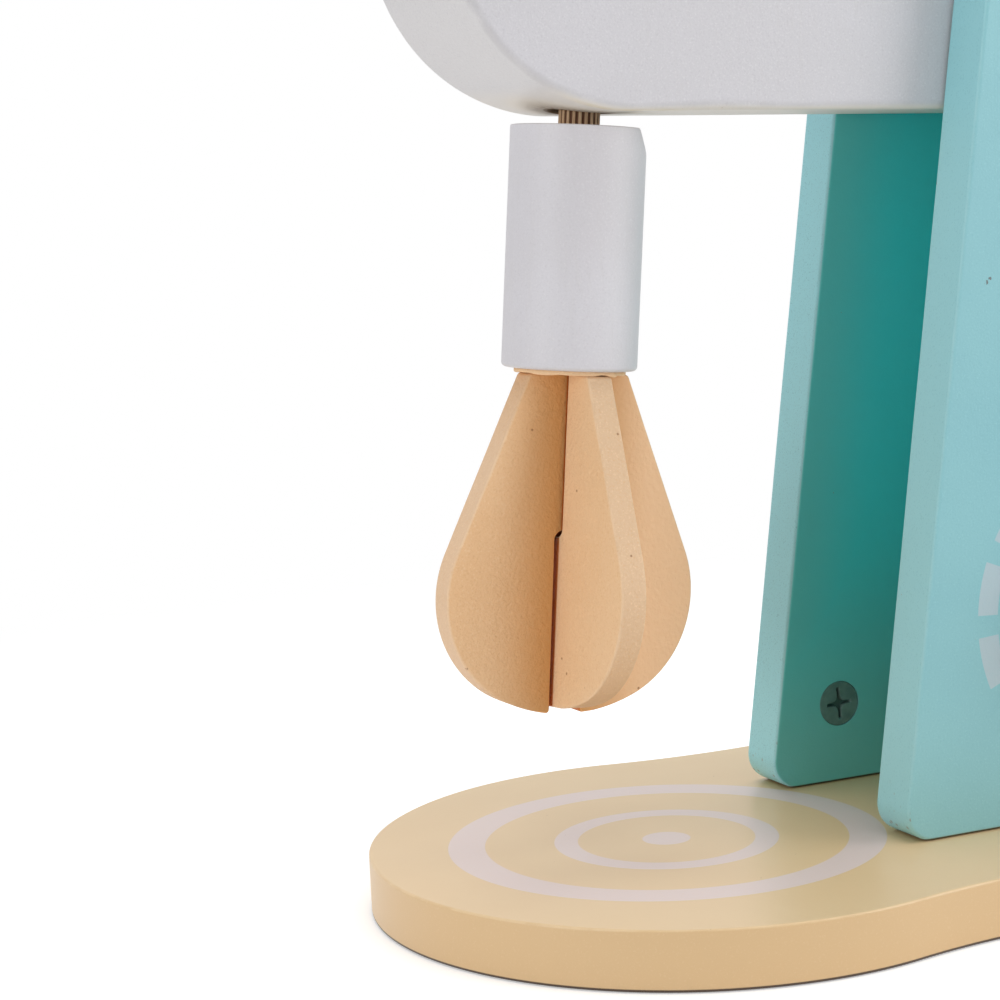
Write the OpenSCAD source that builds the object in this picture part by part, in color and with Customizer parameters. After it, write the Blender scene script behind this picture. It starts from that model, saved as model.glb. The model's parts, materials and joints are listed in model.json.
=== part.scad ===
// Wooden toy stand mixer: a peanut-shaped base, two tapered cheeks with a back board between them,
// a capsule-shaped head that tilts between the cheeks, a hand-spun cross-lapped whisk and a speed knob.
// Millimetres. Origin at the middle of the base's underside, +Z up, the nose towards -X.

/* [Base] */
// Radius of the two round ends of the base
lobe_r = 81; // [76:0.5:95]
// Distance between the centres of the two round ends
lobe_gap = 104; // [95:1:125]
// Radius of the hollow waist between the round ends
waist_r = 168; // [100:1:300]
// Thickness of the base board
base_t = 14.5; // [14:0.5:22]

/* [Column] */
// Thickness of each cheek
cheek_t = 14.5; // [12:0.5:20]
// Clear width between the two cheeks
cheek_gap = 50; // [40:0.5:60]
// Width of a cheek at the base, before its corners are rounded
cheek_foot = 130.8; // [118:0.2:140]
// Lean of a cheek's front and rear edges
cheek_lean = 8.2; // [6:0.1:9]
// Radius of a cheek's two bottom corners
corner_r = 7.5; // [3:0.5:10]
// Thickness of the back board
back_t = 12; // [9:0.5:14]
// Distance that the back board sits inside the cheeks' rear edges
back_inset = 3; // [1:0.5:5]
// Height of the head's pivot above the back board's top edge
back_drop = 11; // [10:0.5:16]

/* [Head] */
// Height of the head's pivot above the base
pivot_h = 228.5; // [210:0.5:240]
// Distance from the pivot forward to the centre of the nose
nose_reach = 122.5; // [115:0.5:140]
// Radius of the nose
nose_r = 47.4; // [42:0.1:50]
// Radius of the head's rounded tail
tail_r = 50.2; // [48:0.1:54]

/* [Pivot] */
// Outside diameter of the pivot sleeve
sleeve_d = 8; // [7:0.5:10]
// Diameter of the pivot bolt's shank
pivot_bolt_d = 6; // [4:0.5:6]
// Diameter of the flat heads of the sleeve and its bolt
flange_d = 17; // [14:0.5:20]
// Thickness of those flat heads
flange_t = 2; // [1.5:0.25:3]
// Outside diameter of the friction washers between head and cheeks
friction_d = 26; // [20:0.5:28]
// Thickness of a friction washer
friction_t = 0.6; // [0.4:0.1:1]

/* [Whisk] */
// Lean of the whisk, foot towards the front
whisk_lean = 5.35; // [0:0.05:6]
// Turn of the blades about the whisk's own axis, at rest
whisk_turn = 3.5; // [0:0.5:45]
// Distance of the whisk's axis ahead of the nose centre, at the underside of the head
whisk_ahead = 3.8; // [0:0.1:6]
// Gap between the head and the chuck
chuck_gap = 3; // [2:0.1:5]
// Diameter of the chuck
chuck_d = 33; // [28:0.5:38]
// Length of the chuck
chuck_l = 58; // [50:1:62]
// Depth of the flat bevel at one side of the chuck's top
bevel_in = 2.2; // [1:0.1:3]
// Height of that bevel
bevel_h = 6; // [4:0.5:10]
// Direction in which the bevel faces
bevel_dir = -24; // [-180:1:180]
// Thickness of the blades
blade_t = 6.7; // [5:0.1:8]
// Height of the blades below the chuck
blade_h = 84; // [82:0.1:88]
// Greatest width of the blades
belly_w = 68; // [62:0.5:70]
// Depth of the widest place below the chuck
belly_drop = 55.4; // [53:0.1:57]
// Radius of the blades' flanks at the widest place
belly_r = 26; // [25:0.5:28]
// Width of the blades just below the chuck
neck_w = 26.6; // [24:0.2:27]
// Depth of the cross-lap below the chuck
lap_h = 40; // [34:1:48]
// Radius of the corners at the ends of the cross-lap slots
slot_r = 2.2; // [1:0.1:2.6]
// Distance by which the blades sit off the chuck's axis
blade_off = 1.2; // [0:0.1:2]
// Width of the tenons that enter the chuck
tenon_w = 16; // [14:0.5:18]
// Length of those tenons
tenon_l = 14; // [10:0.5:18]
// Diameter of the fluted shaft
shaft_d = 10; // [8:0.5:11]
// Length of the fluted shaft
shaft_l = 60; // [50:1:70]
// Depth of the shaft in the chuck
shaft_set = 18; // [14:1:24]
// Number of flutes on the shaft
flutes = 20; // [14:1:24]
// Depth of a flute
flute_in = 0.45; // [0.3:0.05:0.6]
// Diameter of the relieved mouth of the shaft's bore in the head
mouth_d = 15.5; // [14:0.5:18]
// Depth of that mouth
mouth_l = 6; // [4:0.5:10]
// Diameter of the well in the head above the shaft
well_d = 18; // [17:0.5:22]
// Length of the plug that closes the well
plug_l = 12; // [8:0.5:20]

/* [Speed knob] */
// Height of the knob's centre above the base
knob_h = 52; // [40:0.5:70]
// Diameter of the knob
knob_d = 46; // [36:0.5:56]
// Thickness of the knob
knob_t = 15; // [12:0.5:20]
// Width of the pointer groove across the knob's face
pointer_w = 3; // [2:0.5:5]
// Depth of the pointer groove
pointer_in = 1.2; // [0.6:0.1:2]
// Distance of the pointer groove's inner end from the knob's centre
pointer_from = 7.5; // [5:0.5:10]
// Amount by which the knob's radius narrows towards its face
knob_draft = 1; // [0.5:0.1:2]
// Width of the bevel round the knob's face
knob_bevel = 2; // [1:0.1:3]

/* [Fixings] */
// Diameter of the cam locks in the cheeks
cam_d = 12; // [11:0.5:15]
// Depth of the cam locks
cam_l = 10; // [8.5:0.5:11]
// Height of the cam locks above the base
cam_h = 21.4; // [18:0.2:26]
// Distance of the front cam locks ahead of the column's middle
cam_front = 43.5; // [38:0.5:46]
// Distance of the rear cam locks behind the column's middle
cam_rear = 26; // [20:0.5:28]
// Diameter of the cam bolts
cam_bolt_d = 6; // [5:0.5:7]
// Depth of the cam bolts in the base
cam_bolt_set = 11; // [8:0.5:12]
// Diameter of the locating dowels under the cheeks
foot_dowel_d = 8; // [6:0.5:9]
// Length of the locating dowels, half in the base and half in the cheek
foot_dowel_l = 22; // [16:1:24]
// Distance of the front dowels ahead of the column's middle
dowel_front = 20; // [12:0.5:24]
// Distance of the rear dowels behind the column's middle
dowel_rear = 46; // [42:0.5:48]
// Diameter of the dowels in the back board's edges
back_dowel_d = 6; // [5:0.5:7]
// Length of the back board's dowels, half in the board and half in the cheek
back_dowel_l = 20; // [14:1:22]
// Distance of the upper pair of those dowels below the pivot
back_dowel_high = 40; // [30:1:60]
// Distance of the lower pair below the pivot
back_dowel_low = 180; // [150:1:190]
// Diameter of the screws' shanks
screw_d = 4; // [3:0.5:5]
// Diameter of the screws' heads
screw_head_d = 8; // [7:0.5:9]
// Thickness of the screws' heads
screw_head_t = 2.8; // [2:0.1:3.5]
// Thickness of the washers under the shaft's screw and the knob
washer_t = 1.2; // [0.8:0.1:2]
// Length of the shaft's screw
shaft_screw_l = 24; // [18:1:28]
// Depth of the knob's screw in the knob
knob_screw_set = 9; // [7:0.5:10]
// Outside diameter of the washer behind the knob
knob_washer_d = 20; // [14:0.5:24]

/* [Finish] */
// Width of the eased edges of the boards
ease = 1; // [0.4:0.1:1.4]

/* [Clearances] */
// Radial clearance of shafts that turn in their bores
run_fit = 0.08; // [0.04:0.01:0.1]
// Radial clearance of dowels, bolts and plugs in their holes
hole_fit = 0.05; // [0.02:0.01:0.2]
// Gap at the ends and flat sides of parts that move
end_play = 0.3; // [0.2:0.05:0.6]
// Gap between each side of the head and its friction washer
side_play = 0.1; // [0.05:0.05:0.3]
// Gap on each side of a blade in its cross-lap slot
lap_play = 0.8; // [0.4:0.1:1]
// Gap between the shaft's washer and the wall of its well
well_play = 1.25; // [0.5:0.25:2]

/* [Hidden] */
$fn = 96;

// Length by which a cutter passes the face that it cuts
over = 1;
// Places of the column, the pivot and the cheeks' faces
column_x = lobe_gap / 2;
pivot_z = base_t + pivot_h;
cheek_in = cheek_gap / 2;
cheek_out = cheek_in + cheek_t;
// Radius of a cheek's rounded top, which touches both leaning edges
top_r = (cheek_foot / 2 - pivot_h * tan(cheek_lean)) * cos(cheek_lean);
// Distances behind the pivot of the back board's front face and of the head's flat tail
back_face = top_r - back_inset - back_t;
tail_face = back_face - end_play;
// Width of the head
head_w = cheek_gap - 2 * (friction_t + side_play);
// Centre of the head's round tail, which touches the plane of its flat end
tail_x = (tail_face - tail_r) / cos(cheek_lean);
// Slope of the head's upper and lower edges, which meet the round nose just inside its skin
head_slope = asin((tail_r - nose_r) / (nose_reach + tail_x));
skin = 0.05;
// Shaft: its place along the whisk's axis, measured up from the underside of the head
shaft_low = -chuck_gap - shaft_set;
shaft_top = shaft_low + shaft_l;
shoulder = shaft_top - end_play;
// Bore of the head round the shaft
bore_r = shaft_d / 2 + run_fit;
// Chuck: its lower end, where the blades begin
chuck_low = -chuck_gap - chuck_l;
// Socket in the chuck, round the crossed tenons
socket_d = sqrt(tenon_w * tenon_w + blade_t * blade_t) + 2 * hole_fit;
socket_l = tenon_l + end_play;
// Height of the well's upper end, above the top of the head
well_top = 2 * tail_r + 4 * over;
// Counterbore of the knob's screw in the cheek
knob_sink_d = screw_head_d + 2 * end_play;
knob_sink = screw_head_t + 2 * end_play;
// Width and depth of the cross recesses in screws and locks, and the share of a head that they span
recess_w = 1.2;
recess_in = 1;
recess_span = 0.55;

// A triangle that eases a top edge at distance r from the middle of an arc
module ease_profile(r, inward = 1) {
    polygon([[r - inward * (ease + over), over],
             [r + inward * over, -ease - over],
             [r + inward * over, over]]);
}

// Easing of both faces of a board along an arc about c, from angle a0 over a turn of sweep degrees
module ease_arc(c, r, a0, sweep, t, inward = 1) {
    for (face = [0, 1])
        translate([c[0], c[1], face * t])
            mirror([0, 0, 1 - face])
                rotate([0, 0, a0])
                    rotate_extrude(angle = sweep)
                        ease_profile(r, inward);
}

// Easing of both faces of a board along a straight edge from p to q, with the board on the left.
// It runs past both ends, where the edge turns away from it.
module ease_line(p, q, t) {
    run = norm(q - p) + 2 * over;
    turn = atan2(q[1] - p[1], q[0] - p[0]);
    for (face = [0, 1])
        translate([p[0], p[1], face * t])
            mirror([0, 0, 1 - face])
                rotate([0, 0, turn])
                    translate([-over, 0, 0])
                        rotate([90, 0, 90])
                            linear_extrude(run)
                                mirror([1, 0])
                                    ease_profile(0);
}

// A disc with both of its edges eased
module eased_disc(r, t) {
    rotate_extrude()
        polygon([[0, 0], [r - ease, 0], [r, ease], [r, t - ease], [r - ease, t], [0, t]]);
}

// The base: two discs with a hollow waist that touches both
waist_y = sqrt(pow(lobe_r + waist_r, 2) - pow(lobe_gap / 2, 2));
waist_x = lobe_gap / 2 * waist_r / (lobe_r + waist_r);
waist_touch = waist_y * lobe_r / (lobe_r + waist_r);

module base_form() {
    difference() {
        union() {
            for (side = [-1, 1])
                translate([side * lobe_gap / 2, 0, 0])
                    cylinder(h = base_t, r = lobe_r);
            translate([-waist_x, -waist_touch, 0])
                cube([2 * waist_x, 2 * waist_touch, base_t]);
        }
        for (side = [-1, 1])
            translate([0, side * waist_y, -over])
                cylinder(h = base_t + 2 * over, r = waist_r);
    }
}

// A cheek about the column's middle: x along the base, y up from it and z through its thickness.
// Its straight edges meet its three discs just inside their skin.
corner_x = cheek_foot / 2 - corner_r * tan(cheek_lean) - corner_r / cos(cheek_lean);
edge_dir = [cos(cheek_lean), sin(cheek_lean)];
corner_c = [corner_x, corner_r + skin];
cheek_low = corner_c + (corner_r - skin) * edge_dir;
cheek_high = [0, pivot_h] + (top_r - skin) * edge_dir;

module cheek_form() {
    translate([0, pivot_h, 0])
        eased_disc(top_r, cheek_t);
    for (side = [-1, 1])
        translate([side * corner_c[0], corner_c[1], 0])
            eased_disc(corner_r, cheek_t);
    difference() {
        linear_extrude(cheek_t)
            polygon([[-corner_x, 0], [corner_x, 0], corner_c, cheek_low, cheek_high,
                     [0, pivot_h], [-cheek_high[0], cheek_high[1]], [-cheek_low[0], cheek_low[1]],
                     [-corner_c[0], corner_c[1]]]);
        ease_line(cheek_low, cheek_high, cheek_t);
        ease_line([-cheek_high[0], cheek_high[1]], [-cheek_low[0], cheek_low[1]], cheek_t);
        ease_line([-corner_x, 0], [corner_x, 0], cheek_t);
    }
}

// The head about its pivot: x towards the rear, y up and z across its width.
// Its nose and upper tail are round, and its lower tail ends flat against the back board.
head_dir = [-sin(head_slope), cos(head_slope)];
nose_high = [-nose_reach, 0] + nose_r * head_dir - [0, skin];
nose_low = [nose_high[0], -nose_high[1]];
tail_high = [tail_x, 0] + tail_r * head_dir;
tail_touch = [tail_x, 0] + tail_r * edge_dir;
tail_run = (tail_face - nose_low * edge_dir) / cos(head_slope + cheek_lean);
tail_low = nose_low + tail_run * [cos(head_slope), -sin(head_slope)];

module head_form() {
    translate([-nose_reach, 0, 0])
        cylinder(h = head_w, r = nose_r);
    translate([tail_x, 0, 0])
        cylinder(h = head_w, r = tail_r);
    linear_extrude(head_w)
        polygon([nose_high, nose_low, tail_low, tail_touch, tail_high]);
}

// A blade below the chuck, without its tenon and slot: x across, y up and z through its thickness.
// Its flanks and its foot meet the round bellies just inside their skin.
belly_x = belly_w / 2 - belly_r;
foot_y = (belly_x * belly_x + belly_drop * belly_drop - pow(blade_h - belly_r, 2))
         / (2 * (belly_drop - blade_h + belly_r));
foot_r = blade_h - foot_y;
neck_far = norm([neck_w / 2 - belly_x, belly_drop]);
flank_a = asin(belly_r / neck_far) - atan2(neck_w / 2 - belly_x, belly_drop);
flank_touch = [belly_x, -belly_drop] + (belly_r - skin) * [cos(flank_a), sin(flank_a)];
foot_dir = [belly_x, foot_y - belly_drop] / norm([belly_x, foot_y - belly_drop]);
foot_touch = [0, -foot_y] + (foot_r - skin) * foot_dir;

module blade_form() {
    for (side = [-1, 1])
        translate([side * belly_x, -belly_drop, 0])
            cylinder(h = blade_t, r = belly_r);
    linear_extrude(blade_t)
        polygon([[-neck_w / 2, 0], [neck_w / 2, 0], flank_touch, foot_touch,
                 [-foot_touch[0], foot_touch[1]], [-flank_touch[0], flank_touch[1]]]);
    translate([0, -foot_y, 0])
        intersection() {
            cylinder(h = blade_t, r = foot_r - skin);
            linear_extrude(blade_t)
                polygon([[0, 0], 4 * foot_r * foot_dir, 4 * foot_r * [-foot_dir[0], foot_dir[1]]]);
        }
}

// Places the children in the whisk's own frame: z up its axis from the underside of the head
module whisk_frame(turn = 0) {
    translate([column_x - nose_reach - whisk_ahead, 0, pivot_z - nose_r])
        rotate([0, whisk_lean, 0])
            rotate([0, 0, turn])
                children();
}

// Places the children on the blades' own axis, beside the chuck's
module blade_frame(turn = 0) {
    whisk_frame(whisk_turn)
        translate([blade_off, 0, 0])
            rotate([0, 0, turn])
                children();
}

// Places the children at the pivot, with z along the pivot's axis towards the near side
module pivot_frame() {
    translate([column_x, 0, pivot_z])
        rotate([90, 0, 0])
            children();
}

// Places the children on the near cheek's outer face at the knob's centre, z outwards
module knob_frame() {
    translate([column_x, -cheek_out, base_t + knob_h])
        rotate([90, 0, 0])
            children();
}

// Places the children at the pivot with x square to the back board, which leans with the rear edges
module back_frame() {
    translate([column_x, 0, pivot_z])
        rotate([0, -cheek_lean, 0])
            children();
}

// A copy at each place where a cheek is fixed to the base, for offsets xs along the column
module at_cheeks(xs) {
    for (side = [-1, 1])
        for (x = xs)
            translate([column_x + x, side * (cheek_in + cheek_t / 2), base_t])
                children();
}

cam_places = [-cam_front, cam_rear];
dowel_places = [-dowel_front, dowel_rear];

// A copy at each dowel of the back board, with z along the dowel
module at_back_dowels() {
    for (side = [-1, 1])
        for (drop = [back_dowel_high, back_dowel_low])
            back_frame()
                translate([back_face + back_t / 2, side * cheek_in, -drop])
                    rotate([90, 0, 0])
                        children();
}

// A plain dowel with eased ends, centred
module dowel(d, l) {
    cylinder(h = l - 2 * ease, d = d, center = true);
    for (end = [0, 1])
        mirror([0, 0, end])
            translate([0, 0, l / 2 - ease])
                cylinder(h = ease, r1 = d / 2, r2 = d / 2 - ease / 2);
}

// A cross-shaped recess cut down into a head of diameter d, with its face at z = 0
module cross_recess(d) {
    w = recess_span * d;
    for (a = [0, 90])
        rotate([0, 0, a])
            translate([-w / 2, -recess_w / 2, -recess_in])
                cube([w, recess_w, recess_in + over]);
}

// A pan-head screw with its shank down from z = 0
module screw(l) {
    difference() {
        union() {
            cylinder(h = screw_head_t, d = screw_head_d);
            translate([0, 0, -l])
                cylinder(h = l, d = screw_d);
        }
        translate([0, 0, screw_head_t])
            cross_recess(screw_head_d);
    }
}

module base_board() {
    color("#e6cda6")
        difference() {
            base_form();
            for (end = [0, 180])
                rotate([0, 0, end]) {
                    lobe_a = atan2(waist_touch, lobe_gap / 2 - waist_x);
                    ease_arc([lobe_gap / 2, 0], lobe_r, lobe_a - 180, 360 - 2 * lobe_a, base_t);
                    waist_a = atan2(waist_x + over, waist_y - waist_touch);
                    ease_arc([0, waist_y], waist_r, 270 - waist_a, 2 * waist_a, base_t, -1);
                }
            at_cheeks(cam_places)
                cylinder(h = 2 * cam_bolt_set, d = cam_bolt_d + 2 * hole_fit, center = true);
            at_cheeks(dowel_places)
                cylinder(h = foot_dowel_l + 2 * end_play, d = foot_dowel_d + 2 * hole_fit, center = true);
        }
}

// One cheek with z from its outer face inwards, x along the base and y up from it
module cheek_board() {
    difference() {
        cheek_form();
        translate([0, pivot_h, -over])
            cylinder(h = cheek_t + 2 * over, d = sleeve_d + 2 * hole_fit);
    }
}

// What both cheeks have in common, cut at its place in the part: cam locks, cam bolts and dowels
module cheek_cuts() {
    at_cheeks(cam_places)
        cylinder(h = 2 * cam_h, d = cam_bolt_d + 2 * hole_fit, center = true);
    cam_solids(hole_fit);
    at_cheeks(dowel_places)
        cylinder(h = foot_dowel_l + 2 * end_play, d = foot_dowel_d + 2 * hole_fit, center = true);
    at_back_dowels()
        cylinder(h = back_dowel_l + 2 * end_play, d = back_dowel_d + 2 * hole_fit, center = true);
}

// The four cam locks as plain discs, grown by a fit
module cam_solids(fit) {
    for (side = [-1, 1])
        for (x = cam_places)
            translate([column_x + x, side * cheek_in, base_t + cam_h])
                rotate([-side * 90, 0, 0])
                    translate([0, 0, -fit])
                        cylinder(h = cam_l + 2 * fit, d = cam_d + 2 * fit);
}

module near_cheek() {
    color("#92c6cb")
        difference() {
            translate([column_x, -cheek_out, base_t])
                mirror([0, 1, 0])
                    rotate([90, 0, 0])
                        cheek_board();
            cheek_cuts();
            knob_frame()
                translate([0, 0, -cheek_t - over])
                    cylinder(h = cheek_t + 2 * over, d = screw_d + 2 * run_fit);
            knob_frame()
                translate([0, 0, -cheek_t - over])
                    cylinder(h = knob_sink + over, d = knob_sink_d);
        }
}

module far_cheek() {
    color("#92c6cb")
        difference() {
            translate([column_x, cheek_out, base_t])
                rotate([90, 0, 0])
                    cheek_board();
            cheek_cuts();
        }
}

module back_board() {
    color("#7db8bd")
        difference() {
            back_frame()
                translate([back_face, -cheek_in, -pivot_h - cheek_foot])
                    cube([back_t, cheek_gap, pivot_h + cheek_foot - back_drop]);
            translate([0, -cheek_gap, base_t - 2 * cheek_foot])
                cube([lobe_gap + lobe_r, 2 * cheek_gap, 2 * cheek_foot]);
            at_back_dowels()
                cylinder(h = back_dowel_l + 2 * end_play, d = back_dowel_d + 2 * hole_fit, center = true);
        }
}

module foot_dowels() {
    color("#c9a67c")
        at_cheeks(dowel_places)
            dowel(foot_dowel_d, foot_dowel_l);
}

module back_dowels() {
    color("#c9a67c")
        at_back_dowels()
            dowel(back_dowel_d, back_dowel_l);
}

module cam_locks() {
    color("#6f7a78")
        difference() {
            cam_solids(0);
            at_cheeks(cam_places)
                cylinder(h = 2 * cam_h + cam_bolt_d, d = cam_bolt_d + 2 * hole_fit, center = true);
            for (side = [-1, 1])
                for (x = cam_places)
                    translate([column_x + x, side * cheek_in, base_t + cam_h])
                        rotate([side * 90, 0, 0])
                            cross_recess(cam_d);
        }
}

module cam_bolts() {
    color("#b9bdbd")
        at_cheeks(cam_places)
            translate([0, 0, -cam_bolt_set])
                cylinder(h = cam_bolt_set + cam_h, d = cam_bolt_d);
}

module pivot_sleeve() {
    sleeve_l = cheek_gap + 2 * cheek_t - flange_t;
    color("#c4c7c8")
        pivot_frame()
            difference() {
                union() {
                    translate([0, 0, cheek_out - sleeve_l])
                        cylinder(h = sleeve_l, d = sleeve_d);
                    translate([0, 0, cheek_out])
                        cylinder(h = flange_t, d = flange_d);
                }
                translate([0, 0, -cheek_out])
                    cylinder(h = cheek_gap, d = pivot_bolt_d + 2 * hole_fit);
                translate([0, 0, cheek_out + flange_t])
                    cross_recess(flange_d);
            }
}

module pivot_bolt() {
    color("#c4c7c8")
        pivot_frame()
            difference() {
                union() {
                    translate([0, 0, -cheek_out])
                        cylinder(h = cheek_gap - end_play, d = pivot_bolt_d);
                    translate([0, 0, -cheek_out - flange_t])
                        cylinder(h = flange_t, d = flange_d);
                }
                translate([0, 0, -cheek_out - flange_t])
                    mirror([0, 0, 1])
                        cross_recess(flange_d);
            }
}

module friction_washers() {
    color("#e9e6dc")
        pivot_frame()
            for (side = [0, 1])
                mirror([0, 0, side])
                    translate([0, 0, cheek_in - friction_t])
                        difference() {
                            cylinder(h = friction_t, d = friction_d);
                            translate([0, 0, -over])
                                cylinder(h = friction_t + 2 * over, d = sleeve_d + 2 * hole_fit);
                        }
}

// The head before any bore is cut
module head_solid() {
    pivot_frame()
        translate([0, 0, -head_w / 2])
            difference() {
                head_form();
                ease_arc([-nose_reach, 0], nose_r, 90 + head_slope, 180 - 2 * head_slope, head_w);
                ease_arc([tail_x, 0], tail_r, cheek_lean, 90 + head_slope - cheek_lean, head_w);
                ease_line(nose_low, tail_low, head_w);
                ease_line(tail_low, tail_touch, head_w);
                ease_line(tail_high, nose_high, head_w);
            }
}

module head_block() {
    color("#d6d3d4")
        difference() {
            head_solid();
            pivot_frame()
                cylinder(h = 2 * cheek_gap, d = sleeve_d + 2 * run_fit, center = true);
            whisk_frame()
                rotate_extrude()
                    polygon([[0, -mouth_l], [mouth_d / 2, -mouth_l], [mouth_d / 2, mouth_l],
                             [bore_r, mouth_l], [bore_r, shoulder], [well_d / 2, shoulder],
                             [well_d / 2, well_top], [0, well_top]]);
        }
}

module well_plug() {
    color("#d6d3d4")
        intersection() {
            head_solid();
            whisk_frame()
                translate([0, 0, 2 * nose_r - plug_l])
                    cylinder(h = well_top, d = well_d - 2 * hole_fit);
        }
}

module whisk_shaft() {
    color("#8a6a4a")
        whisk_frame(whisk_turn)
            difference() {
                translate([0, 0, shaft_low])
                    linear_extrude(shaft_l)
                        difference() {
                            circle(d = shaft_d);
                            for (k = [0 : flutes - 1])
                                rotate([0, 0, k * 360 / flutes])
                                    translate([shaft_d / 2, 0])
                                        circle(flute_in, $fn = 24);
                        }
                translate([0, 0, shaft_top - shaft_screw_l])
                    cylinder(h = shaft_screw_l + over, d = screw_d + 2 * hole_fit);
            }
}

module shaft_washer() {
    color("#b9bdbd")
        whisk_frame()
            translate([0, 0, shaft_top])
                difference() {
                    cylinder(h = washer_t, d = well_d - 2 * well_play);
                    translate([0, 0, -over])
                        cylinder(h = washer_t + 2 * over, d = screw_d + 2 * hole_fit);
                }
}

module shaft_screw() {
    color("#b9bdbd")
        whisk_frame(whisk_turn)
            translate([0, 0, shaft_top + washer_t])
                screw(shaft_screw_l);
}

module whisk_chuck() {
    color("#d4d2d6")
        whisk_frame()
            difference() {
                union() {
                    translate([0, 0, chuck_low + ease])
                        cylinder(h = chuck_l - ease, d = chuck_d);
                    translate([0, 0, chuck_low])
                        cylinder(h = ease, r1 = chuck_d / 2 - ease, r2 = chuck_d / 2);
                }
                translate([0, 0, -chuck_gap - shaft_set - end_play])
                    cylinder(h = shaft_set + end_play + over, d = shaft_d + 2 * hole_fit);
                rotate([0, 0, whisk_turn])
                    translate([blade_off, 0, chuck_low - over])
                        cylinder(h = socket_l + over, d = socket_d);
                rotate([0, 0, bevel_dir])
                    translate([chuck_d / 2 - bevel_in, 0, -chuck_gap])
                        rotate([0, -atan(bevel_in / bevel_h), 0])
                            translate([0, -chuck_d / 2, -chuck_d])
                                cube([chuck_d, chuck_d, 2 * chuck_d]);
            }
}

// A blade with its tenon, upright in the x and z directions, before its slot is cut
module blade_board() {
    translate([0, 0, chuck_low])
        rotate([90, 0, 0])
            translate([0, 0, -blade_t / 2]) {
                blade_form();
                translate([-tenon_w / 2, -over, 0])
                    cube([tenon_w, tenon_l + over, blade_t]);
            }
}

// Slots: each ends short of the other blade by the room that its round corners need
slot_w = blade_t + 2 * lap_play;
slot_dip = slot_r - sqrt(slot_r * slot_r - pow(slot_r - lap_play, 2));
lap_room = slot_dip + end_play / 2;

// A slot that runs down from z = 0, where its two corners are round
module slot(l) {
    translate([-slot_w / 2, -blade_t, -l])
        cube([slot_w, 2 * blade_t, l - slot_r]);
    translate([-slot_w / 2 + slot_r, -blade_t, -l])
        cube([slot_w - 2 * slot_r, 2 * blade_t, l]);
    for (side = [-1, 1])
        translate([side * (slot_w / 2 - slot_r), 0, -slot_r])
            rotate([90, 0, 0])
                cylinder(h = 2 * blade_t, r = slot_r, center = true);
}

module long_blade() {
    color("#e0b68a")
        blade_frame()
            difference() {
                blade_board();
                translate([0, 0, chuck_low - lap_h + lap_room])
                    slot(blade_h);
            }
}

module cross_blade() {
    color("#e0b68a")
        blade_frame(90)
            difference() {
                blade_board();
                translate([0, 0, chuck_low - lap_h - lap_room])
                    mirror([0, 0, 1])
                        slot(lap_h + lap_room + tenon_l + over);
            }
}

module speed_knob() {
    color("#d6d3d4")
        knob_frame()
            difference() {
                translate([0, 0, washer_t])
                    rotate_extrude()
                        polygon([[0, 0], [knob_d / 2 - ease, 0], [knob_d / 2, ease],
                                 [knob_d / 2 - knob_draft, knob_t - knob_bevel],
                                 [knob_d / 2 - knob_draft - knob_bevel, knob_t], [0, knob_t]]);
                translate([-pointer_w / 2, pointer_from, washer_t + knob_t - pointer_in])
                    cube([pointer_w, knob_d, pointer_in + over]);
                translate([0, 0, -over])
                    cylinder(h = washer_t + knob_screw_set + over, d = screw_d + 2 * hole_fit);
            }
}

module knob_washer() {
    color("#e9e6dc")
        knob_frame()
            difference() {
                cylinder(h = washer_t - side_play, d = knob_washer_d);
                translate([0, 0, -over])
                    cylinder(h = washer_t + 2 * over, d = screw_d + 2 * run_fit);
            }
}

module knob_screw() {
    color("#b9bdbd")
        knob_frame()
            translate([0, 0, -cheek_t + knob_sink - end_play])
                mirror([0, 0, 1])
                    screw(cheek_t - knob_sink + end_play + washer_t + knob_screw_set);
}

base_board();
near_cheek();
far_cheek();
back_board();
foot_dowels();
back_dowels();
cam_locks();
cam_bolts();
pivot_sleeve();
pivot_bolt();
friction_washers();
head_block();
well_plug();
whisk_shaft();
shaft_washer();
shaft_screw();
whisk_chuck();
long_blade();
cross_blade();
speed_knob();
knob_washer();
knob_screw();
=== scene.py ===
import json
import math

import bmesh
import bpy
import numpy as np
from mathutils import Matrix, Vector
from mathutils.geometry import delaunay_2d_cdt


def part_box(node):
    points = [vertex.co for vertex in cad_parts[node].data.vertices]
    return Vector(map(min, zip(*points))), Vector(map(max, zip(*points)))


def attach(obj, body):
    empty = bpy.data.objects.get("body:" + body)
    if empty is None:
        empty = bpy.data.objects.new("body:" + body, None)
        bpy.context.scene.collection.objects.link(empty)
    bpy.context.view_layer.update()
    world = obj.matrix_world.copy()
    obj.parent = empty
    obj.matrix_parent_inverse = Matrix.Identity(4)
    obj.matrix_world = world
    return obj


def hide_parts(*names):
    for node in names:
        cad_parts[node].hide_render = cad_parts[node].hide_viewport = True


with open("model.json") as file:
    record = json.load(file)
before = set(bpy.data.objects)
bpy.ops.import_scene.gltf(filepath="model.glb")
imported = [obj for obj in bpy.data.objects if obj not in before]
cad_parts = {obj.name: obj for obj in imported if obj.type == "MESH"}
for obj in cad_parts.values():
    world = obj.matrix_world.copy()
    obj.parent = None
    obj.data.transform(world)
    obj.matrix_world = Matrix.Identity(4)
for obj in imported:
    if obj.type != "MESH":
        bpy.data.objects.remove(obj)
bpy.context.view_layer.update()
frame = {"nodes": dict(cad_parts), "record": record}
mm = 0.001
print("frame loaded:", len(frame["nodes"]), "nodes")

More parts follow.
